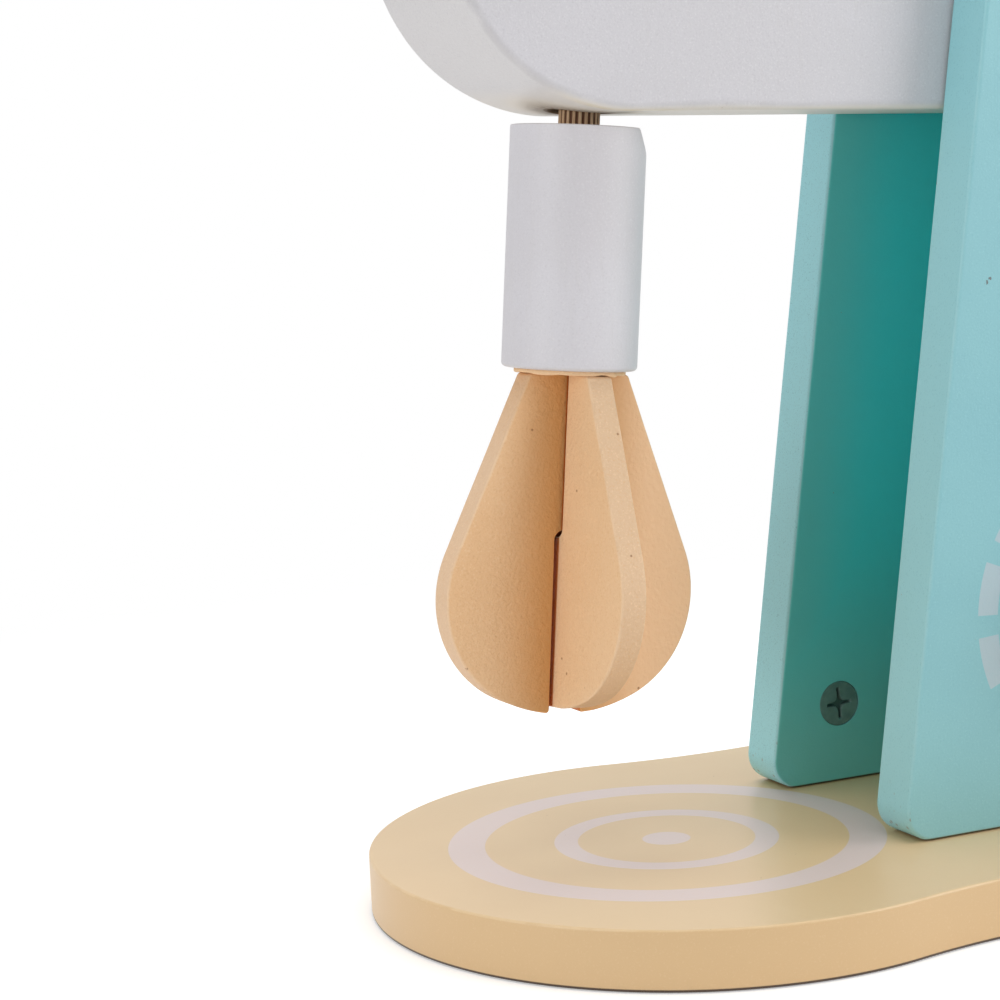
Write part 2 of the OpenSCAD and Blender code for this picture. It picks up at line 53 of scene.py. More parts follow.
# Places of the main axes, in millimetres, from the joints and the base board
joints = {joint["name"]: joint for joint in frame["record"]["behaviour"]["joints"]}
columnX, _, pivotZ = (np.array(joints["head_tilt"]["pos_m"]) / mm).tolist()
whiskFoot = np.array(joints["whisk_spin"]["pos_m"]) / mm  # where the whisk's axis leaves the head
whiskUp = np.array(joints["whisk_spin"]["axis"], float)
whiskSide = np.array([0.0, 1.0, 0.0])
whiskOut = np.cross(whiskSide, whiskUp)
whiskTurn = math.radians(3.5)
bladeAxes = (math.cos(whiskTurn) * whiskOut + math.sin(whiskTurn) * whiskSide,
             math.cos(whiskTurn) * whiskSide - math.sin(whiskTurn) * whiskOut)
bladeBeside = (1.25, 0.8)  # the long and the cross blade stand this far beside the chuck's axis
knobAt = (np.array(joints["knob_turn"]["pos_m"]) / mm).tolist()
baseTop = float(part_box("base_board")[1][2]) / mm
cheekLean = 8.2
fitGap = 0.04  # every board stays this far inside its own outline


# Shells: grids and fills are gathered as arrays, and become one mesh at the end

def newShell():
    return {"points": [], "wear": [], "cut": [], "faces": [], "count": 0}


def addPoints(shell, points, wear=0.0, cut=0.0):
    first = shell["count"]
    flat = points.reshape(-1, 3)
    shell["points"].append(flat)
    for key, value in (("wear", wear), ("cut", cut)):
        shell[key].append(np.broadcast_to(value, points.shape[:-1]).reshape(-1))
    shell["count"] += len(flat)
    return first + np.arange(len(flat)).reshape(points.shape[:-1])


# A grid of points[row, column] becomes quads between neighbours. A ring joins the last column to the first.
def addGrid(shell, points, wear=0.0, cut=0.0, ring=True, keep=None):
    index = addPoints(shell, points, wear, cut)
    after = np.roll(index, -1, axis=1) if ring else index[:, 1:]
    here = index if ring else index[:, :-1]
    quads = np.stack([here[:-1], after[:-1], after[1:], here[1:]], axis=-1)
    quads = quads.reshape(-1, 4) if keep is None else quads[keep]
    shell["faces"].extend(quads.tolist())
    return index


def addLid(shell, ringIndex):
    shell["faces"].append([int(k) for k in ringIndex])


# A flat face inside the first loop and outside the others, as triangles between their points
def addFill(shell, loops, place):
    flat = np.concatenate(loops)
    starts = np.cumsum([0] + [len(loop) for loop in loops])
    edges = np.concatenate([np.stack([a + np.arange(b - a), a + (np.arange(b - a) + 1) % (b - a)], axis=-1)
                            for a, b in zip(starts[:-1], starts[1:])])
    spots, _, corners, *_ = delaunay_2d_cdt([Vector(p) for p in flat.tolist()], edges.tolist(), [], 1, 1e-6)
    spots = np.array([tuple(p) for p in spots])
    corners = np.array(corners)
    middle = spots[corners].mean(axis=1)
    for loop in loops[1:]:
        hub = loop.mean(axis=0)
        reach = np.linalg.norm(loop - hub, axis=1).mean()
        inside = np.linalg.norm(middle - hub, axis=1) < reach
        corners, middle = corners[~inside], middle[~inside]
    index = addPoints(shell, place(spots))
    shell["faces"].extend(index[corners].tolist())


pieceBuild = {"merge": 3e-6, "sharp": 40}


# Doubles are merged and faces turned outwards, and edges sharper than the limit are kept sharp
def makePiece(name, shell, finish, body, slot, *nodes):
    mesh = bpy.data.meshes.new(name)
    mesh.from_pydata((np.concatenate(shell["points"]) * mm).tolist(), [], shell["faces"])
    for key in ("wear", "cut"):
        values = np.concatenate(shell[key]).astype(np.float32)
        mesh.attributes.new(key, "FLOAT", "POINT").data.foreach_set("value", values)
    work = bmesh.new()
    work.from_mesh(mesh)
    bmesh.ops.remove_doubles(work, verts=work.verts, dist=pieceBuild["merge"])
    bmesh.ops.recalc_face_normals(work, faces=work.faces)
    work.to_mesh(mesh)
    work.free()
    mesh.polygons.foreach_set("use_smooth", np.ones(len(mesh.polygons), bool))
    mesh.set_sharp_from_angle(angle=math.radians(pieceBuild["sharp"]))
    mesh.materials.append(finish)
    piece = bpy.data.objects.new(name, mesh)
    bpy.context.scene.collection.objects.link(piece)
    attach(piece, body)
    if nodes:
        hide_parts(*nodes)


# Paths and boards

def roundAngles(count):
    return np.arange(count) * (2 * np.pi / count)


def quarterTurn(count):
    return np.linspace(0, np.pi / 2, count)


# Points of an arc: centre + radius (cos a, sin a), with a in degrees
def arcPath(centre, radius, start, end, count=48):
    a = np.radians(np.linspace(start, end, count))
    return np.stack([centre[0] + radius * np.cos(a), centre[1] + radius * np.sin(a)], axis=-1)


def circlePath(centre, radius, count=72):
    return arcPath(centre, radius, 0, 360 - 360 / count, count)


# Rounds the corners of a closed path: at each corner an arc of the given radius touches both edges
def filletPath(corners, radii, steps=9):
    corners, radii = np.asarray(corners, float), np.asarray(radii, float)[:, None]
    back = np.roll(corners, 1, axis=0) - corners
    ahead = np.roll(corners, -1, axis=0) - corners
    back /= np.linalg.norm(back, axis=1, keepdims=True)
    ahead /= np.linalg.norm(ahead, axis=1, keepdims=True)
    half = np.arccos(np.clip((back * ahead).sum(axis=1, keepdims=True), -1, 1)) / 2
    bisector = back + ahead
    bisector /= np.maximum(np.linalg.norm(bisector, axis=1, keepdims=True), 1e-9)
    centre = corners + bisector * radii / np.sin(half)
    arm = corners + back * radii / np.tan(half) - centre
    side = np.sign(back[:, :1] * ahead[:, 1:] - back[:, 1:] * ahead[:, :1])
    across = np.stack([arm[:, 1], -arm[:, 0]], axis=-1) * side
    turn = np.linspace(0, 1, steps)[:, None, None] * (np.pi - 2 * half)
    return (centre + np.cos(turn) * arm + np.sin(turn) * across).transpose(1, 0, 2).reshape(-1, 2)


# Walks round a closed path and takes points at equal steps of its length
def evenPath(path, spacing):
    closed = np.vstack([path, path[:1]])
    run = np.concatenate([[0], np.cumsum(np.linalg.norm(np.diff(closed, axis=0), axis=1))])
    count = int(round(run[-1] / spacing))
    at = np.arange(count) * run[-1] / count
    return np.stack([np.interp(at, run, closed[:, k]) for k in (0, 1)], axis=-1)


# Outward normal of a path that runs anticlockwise: its direction turned a quarter turn to the right
def outward(path):
    step = np.roll(path, -1, axis=0) - np.roll(path, 1, axis=0)
    step /= np.linalg.norm(step, axis=1, keepdims=True)
    return np.stack([step[:, 1], -step[:, 0]], axis=-1)


# Slow uneven swing round a closed path, between about -1 and 1: a sum of sines with settled phases
def handSanded(count, seed):
    phases = np.random.default_rng(seed).uniform(0, 2 * np.pi, 14)
    waves = np.arange(3, 17)
    at = np.arange(count)[:, None] / count
    return (np.sin(2 * np.pi * at * waves + phases) / np.sqrt(len(waves))).sum(axis=1)


boardPlan = {"seed": 1, "bores": (), "sideRows": (), "keep": None, "steps": 6, "support": 0.35, "swing": 0.1,
             "wear": 0.25, "bare": 0.0}


# A board: its edge profile is carried round the outline, each row inset from it and at a height. The edges
# are quarter rounds whose radius swings a little, and the faces are filled flat, with their bores.
def addBoard(shell, outline, thick, rim, place, **extra):
    plan = {**boardPlan, **extra}
    turn = quarterTurn(plan["steps"])
    radius = rim * (1 + plan["swing"] * handSanded(len(outline), plan["seed"]))
    inset = np.concatenate([[1], 1 - np.sin(turn), [0]])[:, None] * radius
    drop = np.concatenate([[0], 1 - np.cos(turn), [1]])[:, None] * radius
    inset[0] += plan["support"]
    drop[-1] += plan["support"]
    worn = plan["wear"] + (1 - plan["wear"]) * np.sin(2 * turn)
    worn = np.concatenate([[0], worn, [0]])[:, None] + 0 * radius
    sawn = np.concatenate([[0], np.sin(turn), [1]])[:, None] + 0 * radius
    middle = np.asarray(plan["sideRows"], float)[:, None] + 0 * radius
    inset = np.concatenate([inset, 0 * middle, inset[::-1]])
    height = np.concatenate([thick - drop, middle, drop[::-1]])
    worn = np.concatenate([worn, 0 * middle, worn[::-1]])
    sawn = np.concatenate([sawn, 0 * middle + 1, sawn[::-1]]) * (1 + plan["bare"])
    flat = outline - (inset + fitGap)[..., None] * outward(outline)
    index = addGrid(shell, place(flat, height), worn, sawn, keep=plan["keep"])
    upper, lower = [flat[0]], [flat[-1]]
    for bore in plan["bores"]:
        circle = circlePath(bore["at"], bore["radius"])
        high, low = bore.get("span", (thick, 0.0))
        lip = np.stack([circle, circle])
        wall = addGrid(shell, place(lip, np.array([[high], [low]]) + np.zeros((2, len(circle)))))
        if high >= thick:
            upper.append(circle)
        else:
            addLid(shell, wall[0])
        if low <= 0:
            lower.append(circle)
        else:
            addLid(shell, wall[1])
    addFill(shell, upper, lambda p: place(p, np.full(len(p), thick)))
    addFill(shell, lower, lambda p: place(p, np.zeros(len(p))))
    return index, height


# Round faces: a square grid u, v is pressed into a disc, x = u sqrt(1 - v v / 2), y = v sqrt(1 - u u / 2)
def discGrid(count):
    u, v = np.meshgrid(np.linspace(-1, 1, count), np.linspace(-1, 1, count))
    return u * np.sqrt(1 - v * v / 2), v * np.sqrt(1 - u * u / 2)


def rimOf(grid):
    return np.concatenate([grid[0, :-1], grid[:-1, -1], grid[-1, :0:-1], grid[:0:-1, 0]])


# A turned piece with a worked face: the face is a disc grid with a height over x and y,
# and the wall is the disc's rim carried through the rows (radius, height) to a flat lid at the end
def addTurned(shell, count, faceRadius, faceHeight, wall, place, wallWear=0.0, recess=None):
    x, y = discGrid(count)
    x, y = x * faceRadius, y * faceRadius
    sunk = crossRecess(x, y, recess) / recess["deep"] if recess else 0.0
    addGrid(shell, place(x, y, faceHeight(x, y)), cut=sunk, ring=False)
    rimX, rimY = rimOf(x) / faceRadius, rimOf(y) / faceRadius
    wall = np.asarray(wall, float)
    rows = place(wall[:, :1] * rimX, wall[:, :1] * rimY, wall[:, 1:] + 0 * rimX)
    first = place(faceRadius * rimX, faceRadius * rimY, faceHeight(faceRadius * rimX, faceRadius * rimY))
    worn = np.concatenate([[0.0], np.broadcast_to(wallWear, len(wall))])[:, None] + 0 * rimX
    index = addGrid(shell, np.concatenate([first[None], rows]), worn)
    addLid(shell, index[-1])


recessSoft = {"side": 0.16, "end": 0.3, "heart": 0.3}


# Depth of a cross recess: each wing is w + h exp(-(p / q) (p / q)) wide at p from the middle, with soft sides
def crossRecess(x, y, size):
    a = math.radians(size["turned"])
    reach, wing, heart = size["reach"], size["wing"], size["heart"]
    p, q = x * math.cos(a) + y * math.sin(a), -x * math.sin(a) + y * math.cos(a)

    def cut(along, across, far):
        width = wing + heart * np.exp(-(along / (recessSoft["heart"] * reach)) ** 2)
        inside = np.clip((width - np.abs(across)) / recessSoft["side"] + 0.5, 0, 1)
        return inside * np.clip((far - np.abs(along)) / recessSoft["end"] + 0.5, 0, 1)

    return size["deep"] * np.maximum(cut(p, q, size["level"] * reach), cut(q, p, reach))


# Finishes: node helpers, which all work in the tree that was opened last

paint = {}


# Colours as a picture shows them, 0 to 255, made linear for the shaders
def tones(**colours):
    made = {}
    for name, colour in colours.items():
        c = np.array(colour) / 255
        linear = np.where(c <= 0.04045, c / 12.92, ((c + 0.055) / 1.055) ** 2.4)
        made[name] = (*linear.tolist(), 1.0)
    return made


def openTree(owner):
    owner.use_nodes = True
    paint["tree"] = owner.node_tree
    return owner.node_tree.nodes


def newFinish(name):
    finish = bpy.data.materials.new(name)
    return finish, openTree(finish)["Principled BSDF"]


# Sets inputs by name or number, and links those that are given a socket
def feed(node, inputs):
    for key, value in inputs.items():
        if isinstance(value, bpy.types.NodeSocket):
            paint["tree"].links.new(value, node.inputs[key])
        else:
            node.inputs[key].default_value = value
    return node


def put(kind, inputs=None, **settings):
    made = paint["tree"].nodes.new(kind)
    for key, value in settings.items():
        setattr(made, key, value)
    return feed(made, inputs or {})


def objectSpot():
    return put("ShaderNodeTexCoord").outputs["Object"]


def attribute(name):
    return put("ShaderNodeAttribute", attribute_name=name).outputs["Fac"]


def noise(spot, scale, detail=2.0, roughness=0.5, distortion=0.0):
    inputs = {"Vector": spot, "Scale": scale, "Detail": detail, "Roughness": roughness,
              "Distortion": distortion}
    return put("ShaderNodeTexNoise", inputs).outputs["Fac"]


def calc(operation, a, b=0.0, c=0.0):
    return put("ShaderNodeMath", {0: a, 1: b, 2: c}, operation=operation).outputs[0]


def times(first, *more):
    for other in more:
        first = calc("MULTIPLY", first, other)
    return first


def vectorMath(operation, a, b=(0.0, 0.0, 0.0), output="Value"):
    return put("ShaderNodeVectorMath", {0: a, 1: b}, operation=operation).outputs[output]


# 0 below low, 1 above high and a smooth step between
def fade(value, low, high):
    return put("ShaderNodeMapRange", {"Value": value, "From Min": low, "From Max": high},
               interpolation_type="SMOOTHSTEP").outputs["Result"]


# The same between two lengths in millimetres
def ramp(value, low, high):
    return fade(value, low * mm, high * mm)


# 1 between two lengths in millimetres, with soft ends
def band(value, low, high, soft):
    return times(ramp(value, low - soft, low + soft), ramp(value, high + soft, high - soft))


def spread(value, low, high):
    return put("ShaderNodeMapRange", {"Value": value, "To Min": low, "To Max": high}).outputs["Result"]


def blendColour(share, a, b):
    return put("ShaderNodeMix", {0: share, 6: a, 7: b}, data_type="RGBA").outputs[2]


def stretch(spot, scale):
    return put("ShaderNodeMapping", {"Vector": spot, "Scale": scale}).outputs["Vector"]


def axes(spot):
    return put("ShaderNodeSeparateXYZ", {0: spot}).outputs


def bump(height, distance):
    return put("ShaderNodeBump", {"Height": height, "Distance": distance}).outputs["Normal"]


# Distance of two coordinates from a middle, sqrt(a a + b b), and its two parts
def awayFrom(a, b, middle):
    da = calc("SUBTRACT", a, middle[0] * mm)
    db = calc("SUBTRACT", b, middle[1] * mm)
    return calc("SQRT", calc("MULTIPLY_ADD", da, da, times(db, db))), da, db


# Few small pits: near the middle of some cells of a loose cell pattern
def pits(spot, scale, size, share):
    cells = put("ShaderNodeTexVoronoi", {"Vector": spot, "Scale": scale})
    chosen = put("ShaderNodeSeparateColor", {0: cells.outputs["Color"]}).outputs[0]
    near = fade(cells.outputs["Distance"], size, 0.4 * size)
    return times(near, fade(chosen, 1 - share, 1.01 - share))


# Satin lacquer on board: slow clouds in the colour, sawn edges in a tone of their own, a fine spray grain of
# light and dark flecks, pits, a tone along the rounded edges, and chips along them. Each layer is a mask with
# its colour.
# Both edge tones also paint light and shade: the sawn-edge tone is painted light on the cheeks and painted
# shade on the base and the blades, and the rounded-edge tone is partly rubbed paint and partly a painted
# highlight, and painted shade on the whites.
lacquerLook = {
    "cloud": 28.0, "cloudSpan": (0.3, 0.7), "grain": 1900.0, "speck": 0.6, "fleckSpan": (0.54, 0.74),
    "duskSpan": (0.46, 0.26), "rub": 0.5, "rubSpan": (0.15, 0.9), "rubScale": 160, "rubPatch": (0.3, 0.6),
    "chip": 0.72, "chipSoft": 0.03, "chipScale": 330, "chipSpan": (0.3, 0.6), "scar": 0.8, "peel": 620.0,
    "peelHigh": 0.5, "grainHigh": 0.35, "reliefHigh": 0.0001, "pitScale": 230.0, "pitSize": 0.05,
    "pitShare": 0.06, "pitDeep": 0.8, "rough": 0.42, "roughSwing": 0.16, "gloss": 0.5,
    **tones(bare=(150, 112, 78))}


def lacquer(name, look, layers=()):
    finish, shader = newFinish(name)
    spot = objectSpot()
    worn = attribute("wear")
    cloud = fade(noise(spot, look["cloud"], 3), *look["cloudSpan"])
    colour = blendColour(cloud, look["colour"], look["shade"])
    # sawn edges in their own tone: painted light on the cheeks, painted shade on the base and the blades
    colour = blendColour(attribute("cut"), colour, look["edge"])
    grain = noise(spot, look["grain"], 2, 0.6)
    for tone in ("fleck", "dusk"):
        colour = blendColour(times(fade(grain, *look[tone + "Span"]), look["speck"]), colour, look[tone])
    # rounded edges in patches of their own tone: rubbed paint and a painted highlight, painted shade on the
    # whites
    patchy = fade(noise(spot, look["rubScale"], 3), *look["rubPatch"])
    colour = blendColour(times(fade(worn, *look["rubSpan"]), patchy, look["rub"]), colour, look["pale"])
    for mask, tint in layers:
        colour = blendColour(mask(spot), colour, tint)
    flakes = fade(noise(spot, look["chipScale"], 3, 0.6), look["chip"], look["chip"] + look["chipSoft"])
    chipped = times(fade(worn, *look["chipSpan"]), flakes)
    hurt = calc("MAXIMUM", chipped, pits(spot, look["pitScale"], look["pitSize"], look["pitShare"]))
    colour = blendColour(times(hurt, look["scar"]), colour, look["bare"])
    smooth, coarse = look["rough"] - 0.45 * look["roughSwing"], look["rough"] + 0.55 * look["roughSwing"]
    peel = times(noise(spot, look["peel"], 3, 0.55), look["peelHigh"])
    relief = calc("MULTIPLY_ADD", grain, look["grainHigh"], peel)
    relief = calc("SUBTRACT", relief, times(hurt, look["pitDeep"]))
    feed(shader, {"Base Color": colour, "Roughness": spread(grain, smooth, coarse),
                  "Normal": bump(relief, look["reliefHigh"]), "Specular IOR Level": look["gloss"]})
    return finish


# Plain wood: long upright fibres, darker where the grain closes, and painted shade in the grooves
beechLook = {
    "along": (1, 1, 0.12), "fibre": 420, "fibreSpan": (0.52, 0.7), "fibreShare": 0.6, "flame": 60,
    "flameSpan": (0.35, 0.65), "grooveSpan": (0.1, 0.8), "rough": (0.55, 0.75), "high": 0.0002}


def beech(name, **colours):
    look = {**beechLook, **tones(**colours)}
    finish, shader = newFinish(name)
    spot = stretch(objectSpot(), look["along"])
    fibre = noise(spot, look["fibre"], 4, 0.65)
    flame = fade(noise(spot, look["flame"], 2, 0.5, 0.6), *look["flameSpan"])
    colour = blendColour(flame, look["colour"], look["shade"])
    colour = blendColour(times(fade(fibre, *look["fibreSpan"]), look["fibreShare"]), colour, look["dark"])
    # painted shade: the grooves darker by their depth
    colour = blendColour(fade(attribute("wear"), *look["grooveSpan"]), colour, look["groove"])
    feed(shader, {"Base Color": colour, "Roughness": spread(fibre, *look["rough"]),
                  "Normal": bump(fibre, look["high"])})
    return finish


# Plated or cast metal: clouded roughness, fine scratches, a little tarnish, and painted shade in the recesses
platedLook = {
    "cloud": 260, "cloudSpan": (0.35, 0.7), "scratch": 900, "along": (1, 1, 9), "recessSpan": (0.2, 0.8),
    "high": 0.00003}


def plated(name, metal, rough, **colours):
    look = {**platedLook, **tones(**colours)}
    finish, shader = newFinish(name)
    spot = objectSpot()
    cloud = noise(spot, look["cloud"], 3)
    scratch = noise(stretch(spot, look["along"]), look["scratch"], 2)
    colour = blendColour(fade(cloud, *look["cloudSpan"]), look["colour"], look["shade"])
    # painted shade: the recesses darker by their depth
    colour = blendColour(fade(attribute("cut"), *look["recessSpan"]), colour, look["dark"])
    feed(shader, {"Base Color": colour, "Roughness": spread(cloud, *rough), "Metallic": metal,
                  "Normal": bump(scratch, look["high"])})
    return finish


# Natural nylon: faint clouds, a fine grain and a little light let in
nylonLook = {
    "cloud": 180, "rough": (0.4, 0.55), "grain": 1500, "high": 0.00003, "depth": 0.1,
    "reach": (0.002, 0.002, 0.0015), **tones(colour=(232, 228, 216), shade=(222, 217, 203))}


def nylon(name, look):
    finish, shader = newFinish(name)
    spot = objectSpot()
    cloud = noise(spot, look["cloud"], 3)
    feed(shader, {"Base Color": blendColour(cloud, look["colour"], look["shade"]),
                  "Roughness": spread(cloud, *look["rough"]),
                  "Normal": bump(noise(spot, look["grain"], 2), look["high"]),
                  "Subsurface Weight": look["depth"], "Subsurface Radius": look["reach"]})
    return finish


# Masks: where a layer of colour lies on a piece

# Print is a little thin where the lacquer below it is rough
printLook = {"grain": 900, "span": (0.28, 0.5), "least": 0.93}


def printed(spot, *masks):
    ragged = fade(noise(spot, printLook["grain"], 2), *printLook["span"])
    return times(*masks, spread(ragged, printLook["least"], 1.0))


# Three printed rings on the base: bands of the distance from their middle, on the upper face alone
ringPrint = {"middle": (-58.5, 0.0), "bands": [(-1.0, 6.06), (22.29, 28.24), (45.70, 55.0)], "soft": 0.12,
             "below": (0.1, 0.05)}


def ringMarks(spot):
    x, y, z = axes(spot)
    away, _, _ = awayFrom(x, y, ringPrint["middle"])
    rings = 0.0
    for low, high in ringPrint["bands"]:
        rings = calc("MAXIMUM", rings, band(away, low, high, ringPrint["soft"]))
    deep, shallow = ringPrint["below"]
    return printed(spot, rings, ramp(z, baseTop - deep, baseTop - shallow))


# A ring of printed dashes round the knob: bands of the distance and of the angle from its middle
dialPrint = {"middle": (columnX, knobAt[2] + 0.2), "inner": 36.7, "outer": 42.5, "dash": 9.1, "pitch": 25.9,
             "each": 4, "soft": 0.12, "dashSoft": 0.003, "endSoft": 0.01, "face": (-39.35, -39.4)}


def dialMarks(spot):
    x, y, z = axes(spot)
    away, dx, dz = awayFrom(x, z, dialPrint["middle"])
    ring = band(away, dialPrint["inner"], dialPrint["outer"], dialPrint["soft"])
    angle = calc("ABSOLUTE", calc("ARCTAN2", dx, dz))
    pitch, dash = math.radians(dialPrint["pitch"]), math.radians(dialPrint["dash"])
    beside = calc("PINGPONG", angle, pitch / 2)
    dashed = fade(beside, dash + dialPrint["dashSoft"], dash - dialPrint["dashSoft"])
    reach = pitch * (dialPrint["each"] + 0.5)
    within = fade(angle, reach + dialPrint["endSoft"], reach)
    return printed(spot, ring, dashed, within, ramp(y, *dialPrint["face"]))


# Distance behind (1) or ahead (-1) of the column's middle, square to that edge: way (x - c) cos + (z - p) sin
def columnDepth(spot, way):
    x, _, z = axes(spot)
    lean = math.radians(cheekLean)
    run = times(calc("SUBTRACT", x, columnX * mm), way * math.cos(lean))
    return calc("MULTIPLY_ADD", calc("SUBTRACT", z, pivotZ * mm), math.sin(lean), run)


# Painted shade on the faces of the column's inside, between the cheeks and in front of the back board: a
# deeper, more saturated teal where the cheeks shade each other and cast their colour on each other
insideSize = {"half": 25.05, "soft": 0.1, "depth": 17.6, "cloud": 45, "least": 0.88}


def insideFaces(spot):
    half, soft, depth = insideSize["half"], insideSize["soft"], insideSize["depth"]
    between = ramp(calc("ABSOLUTE", axes(spot)[1]), half + soft, half)
    ahead = ramp(columnDepth(spot, 1), depth + soft, depth)
    return times(between, ahead, spread(noise(spot, insideSize["cloud"], 3), insideSize["least"], 1.0))


# A greyer tone laid over the painted shade inside, stronger towards the foot and the front edge
dustSize = {"low": (baseTop + 75, baseTop + 5), "lowShare": 0.45, "front": (8.0, 31.0), "frontShare": 0.3}


def insideDust(spot):
    low = times(ramp(axes(spot)[2], *dustSize["low"]), dustSize["lowShare"])
    front = times(ramp(columnDepth(spot, -1), *dustSize["front"]), dustSize["frontShare"])
    return times(insideFaces(spot), calc("MAXIMUM", low, front))


# The cheeks' foot line is painted dark where it meets the base, painted shade in the crease, and small pits
# lie in the sawn edges near the corners
footSize = {"bare": (baseTop + 0.8, baseTop + 0.45), "level": (baseTop + 2, baseTop + 13), "soft": 1.5,
            "pits": (640, 0.42, 0.32), "sawn": (0.1, 0.4), "share": 0.6}


def bareFoot(spot):
    return ramp(axes(spot)[2], *footSize["bare"])


def cornerPits(spot):
    low = band(axes(spot)[2], *footSize["level"], footSize["soft"])
    sawn = fade(attribute("cut"), *footSize["sawn"])
    return times(pits(spot, *footSize["pits"]), low, sawn, footSize["share"])


# How far a spot lies from the whisk's foot along a line: (spot - foot) . line
def alongLine(spot, line):
    away = vectorMath("SUBTRACT", spot, tuple(whiskFoot * mm), "Vector")
    return vectorMath("DOT_PRODUCT", away, tuple(line))


def acrossWhisk(spot, line, beside):
    return calc("ABSOLUTE", calc("SUBTRACT", alongLine(spot, line), beside * mm))


# The blades are painted brown where they are let into each other, bare wood and painted shade: in the slots,
# and on the faces within the lap, where the lesser and the greater of the distances across the whisk, |u| and
# |v|, are small
lapSize = {"near": (3.3, 2.9), "far": (4.0, 3.6), "face": (0.7, 0.4), "wall": (1.15, 1.7)}


def bareLap(spot):
    u = acrossWhisk(spot, bladeAxes[0], bladeBeside[1])
    v = acrossWhisk(spot, bladeAxes[1], 0.0)
    near, far = calc("MINIMUM", u, v), calc("MAXIMUM", u, v)
    lapped = times(ramp(near, *lapSize["near"]), ramp(far, *lapSize["far"]))
    sawn = attribute("cut")
    return calc("MAXIMUM", times(lapped, fade(sawn, *lapSize["face"])), fade(sawn, *lapSize["wall"]))


# On the long blade: painted shade along the corner with the other blade, a painted highlight on the thin rim
# of the slot and painted shade at its upper end, and one end painted warmer and lighter, painted light
longSize = {"gather": (23.0, 3.0), "gatherShare": 0.85, "rim": (8.0, 7.5), "rimRise": (0.15, 0.45),
            "rimFall": (1.0, 0.7), "rimShare": 0.8, "dark": (-103.85, -101.85), "darkWall": (1.15, 1.5),
            "warm": (6.0, 9.0)}


# painted shade: brown along the corner with the other blade
def gathered(spot):
    corner = acrossWhisk(spot, bladeAxes[0], bladeBeside[1])
    return times(ramp(corner, *longSize["gather"]), longSize["gatherShare"])


# painted highlight: a thin orange line along the slot's rim
def slotRim(spot):
    near = ramp(acrossWhisk(spot, bladeAxes[0], bladeBeside[1]), *longSize["rim"])
    sawn = attribute("cut")
    rim = times(fade(sawn, *longSize["rimRise"]), fade(sawn, *longSize["rimFall"]))
    return times(rim, near, longSize["rimShare"])


# painted shade: dark brown at the slot's upper end
def slotEnd(spot):
    wall = fade(attribute("cut"), *longSize["darkWall"])
    return times(wall, ramp(alongLine(spot, whiskUp), *longSize["dark"]))


# painted light: one end of the blade warmer and lighter
def warmEnd(spot):
    return ramp(alongLine(spot, bladeAxes[0]), *longSize["warm"])


# Knocks: places with a reach, ragged by a fine noise
knockLook = {"grain": 1400, "ragged": 1.6, "far": 0.8, "near": 0.6, "share": 0.85}


def knocks(places):
    def mask(spot):
        ragged = times(noise(spot, knockLook["grain"], 2), knockLook["ragged"] * mm)
        found = 0.0
        for *place, reach in places:
            away = calc("ADD", vectorMath("DISTANCE", spot, tuple(np.array(place) * mm)), ragged)
            found = calc("MAXIMUM", found, ramp(away, reach + knockLook["far"], reach + knockLook["near"]))
        return times(found, knockLook["share"])
    return mask


# The base's underside and the foot of its edge are painted dark: the bare board below, and painted shade
# along the foot of the edge
soleSize = {"level": (0.85, 0.6)}


def bareSole(spot):
    return ramp(axes(spot)[2], *soleSize["level"])


# Distance from the whisk's axis: r = sqrt(|d| |d| - (d . up)(d . up))
def boreRadius(spot):
    away = vectorMath("SUBTRACT", spot, tuple(whiskFoot * mm), "Vector")
    along = vectorMath("DOT_PRODUCT", away, tuple(whiskUp))
    return calc("SQRT", calc("SUBTRACT", vectorMath("DOT_PRODUCT", away, away), times(along, along)))


# Speckled dirt on the head's underside, ahead of the whisk's bore, and a bare lip round the bore
stainSize = {"near": (13.5, 8.2), "grain": 560, "patch": (0.42, 0.62), "level": (206.0, 203.0), "share": 0.4,
             "ahead": (whiskFoot[0] - 3.0, whiskFoot[0] - 9.0), "lip": (8.95, 8.45), "lipShare": 0.8}


def boreStain(spot):
    near = ramp(boreRadius(spot), *stainSize["near"])
    patchy = fade(noise(spot, stainSize["grain"], 4, 0.65), *stainSize["patch"])
    x, _, z = axes(spot)
    low, ahead = ramp(z, *stainSize["level"]), ramp(x, *stainSize["ahead"])
    return times(near, patchy, low, ahead, stainSize["share"])


def boreLip(spot):
    ring = ramp(boreRadius(spot), *stainSize["lip"])
    return times(ring, ramp(axes(spot)[2], *stainSize["level"]), stainSize["lipShare"])


# The head's edge is painted paler below, most of all near the bore: painted light from below. Its lower
# corners are tinted yellow there
underSize = {"level": (203.5, 198.0), "sawn": (0.3, 0.9), "near": (21.0, 11.0), "nearShare": 0.8}
yellowSize = {"level": (201.0, 197.0), "outer": (21.4, 22.4), "near": (32.0, 22.0), "sawn": (0.72, 0.9),
              "grain": 120, "patch": (0.3, 0.6), "share": (0.25, 0.6)}


def paleUnder(spot):
    return times(fade(attribute("cut"), *underSize["sawn"]), ramp(axes(spot)[2], *underSize["level"]))


# painted light, stronger near the bore
def paleBore(spot):
    return times(paleUnder(spot), ramp(boreRadius(spot), *underSize["near"]), underSize["nearShare"])


def yellowEdge(spot):
    _, y, z = axes(spot)
    patchy = fade(noise(spot, yellowSize["grain"], 3), *yellowSize["patch"])
    outer = ramp(calc("ABSOLUTE", y), *yellowSize["outer"])
    near = ramp(boreRadius(spot), *yellowSize["near"])
    edge = fade(attribute("cut"), *yellowSize["sawn"])
    return times(edge, outer, ramp(z, *yellowSize["level"]), near, spread(patchy, *yellowSize["share"]))


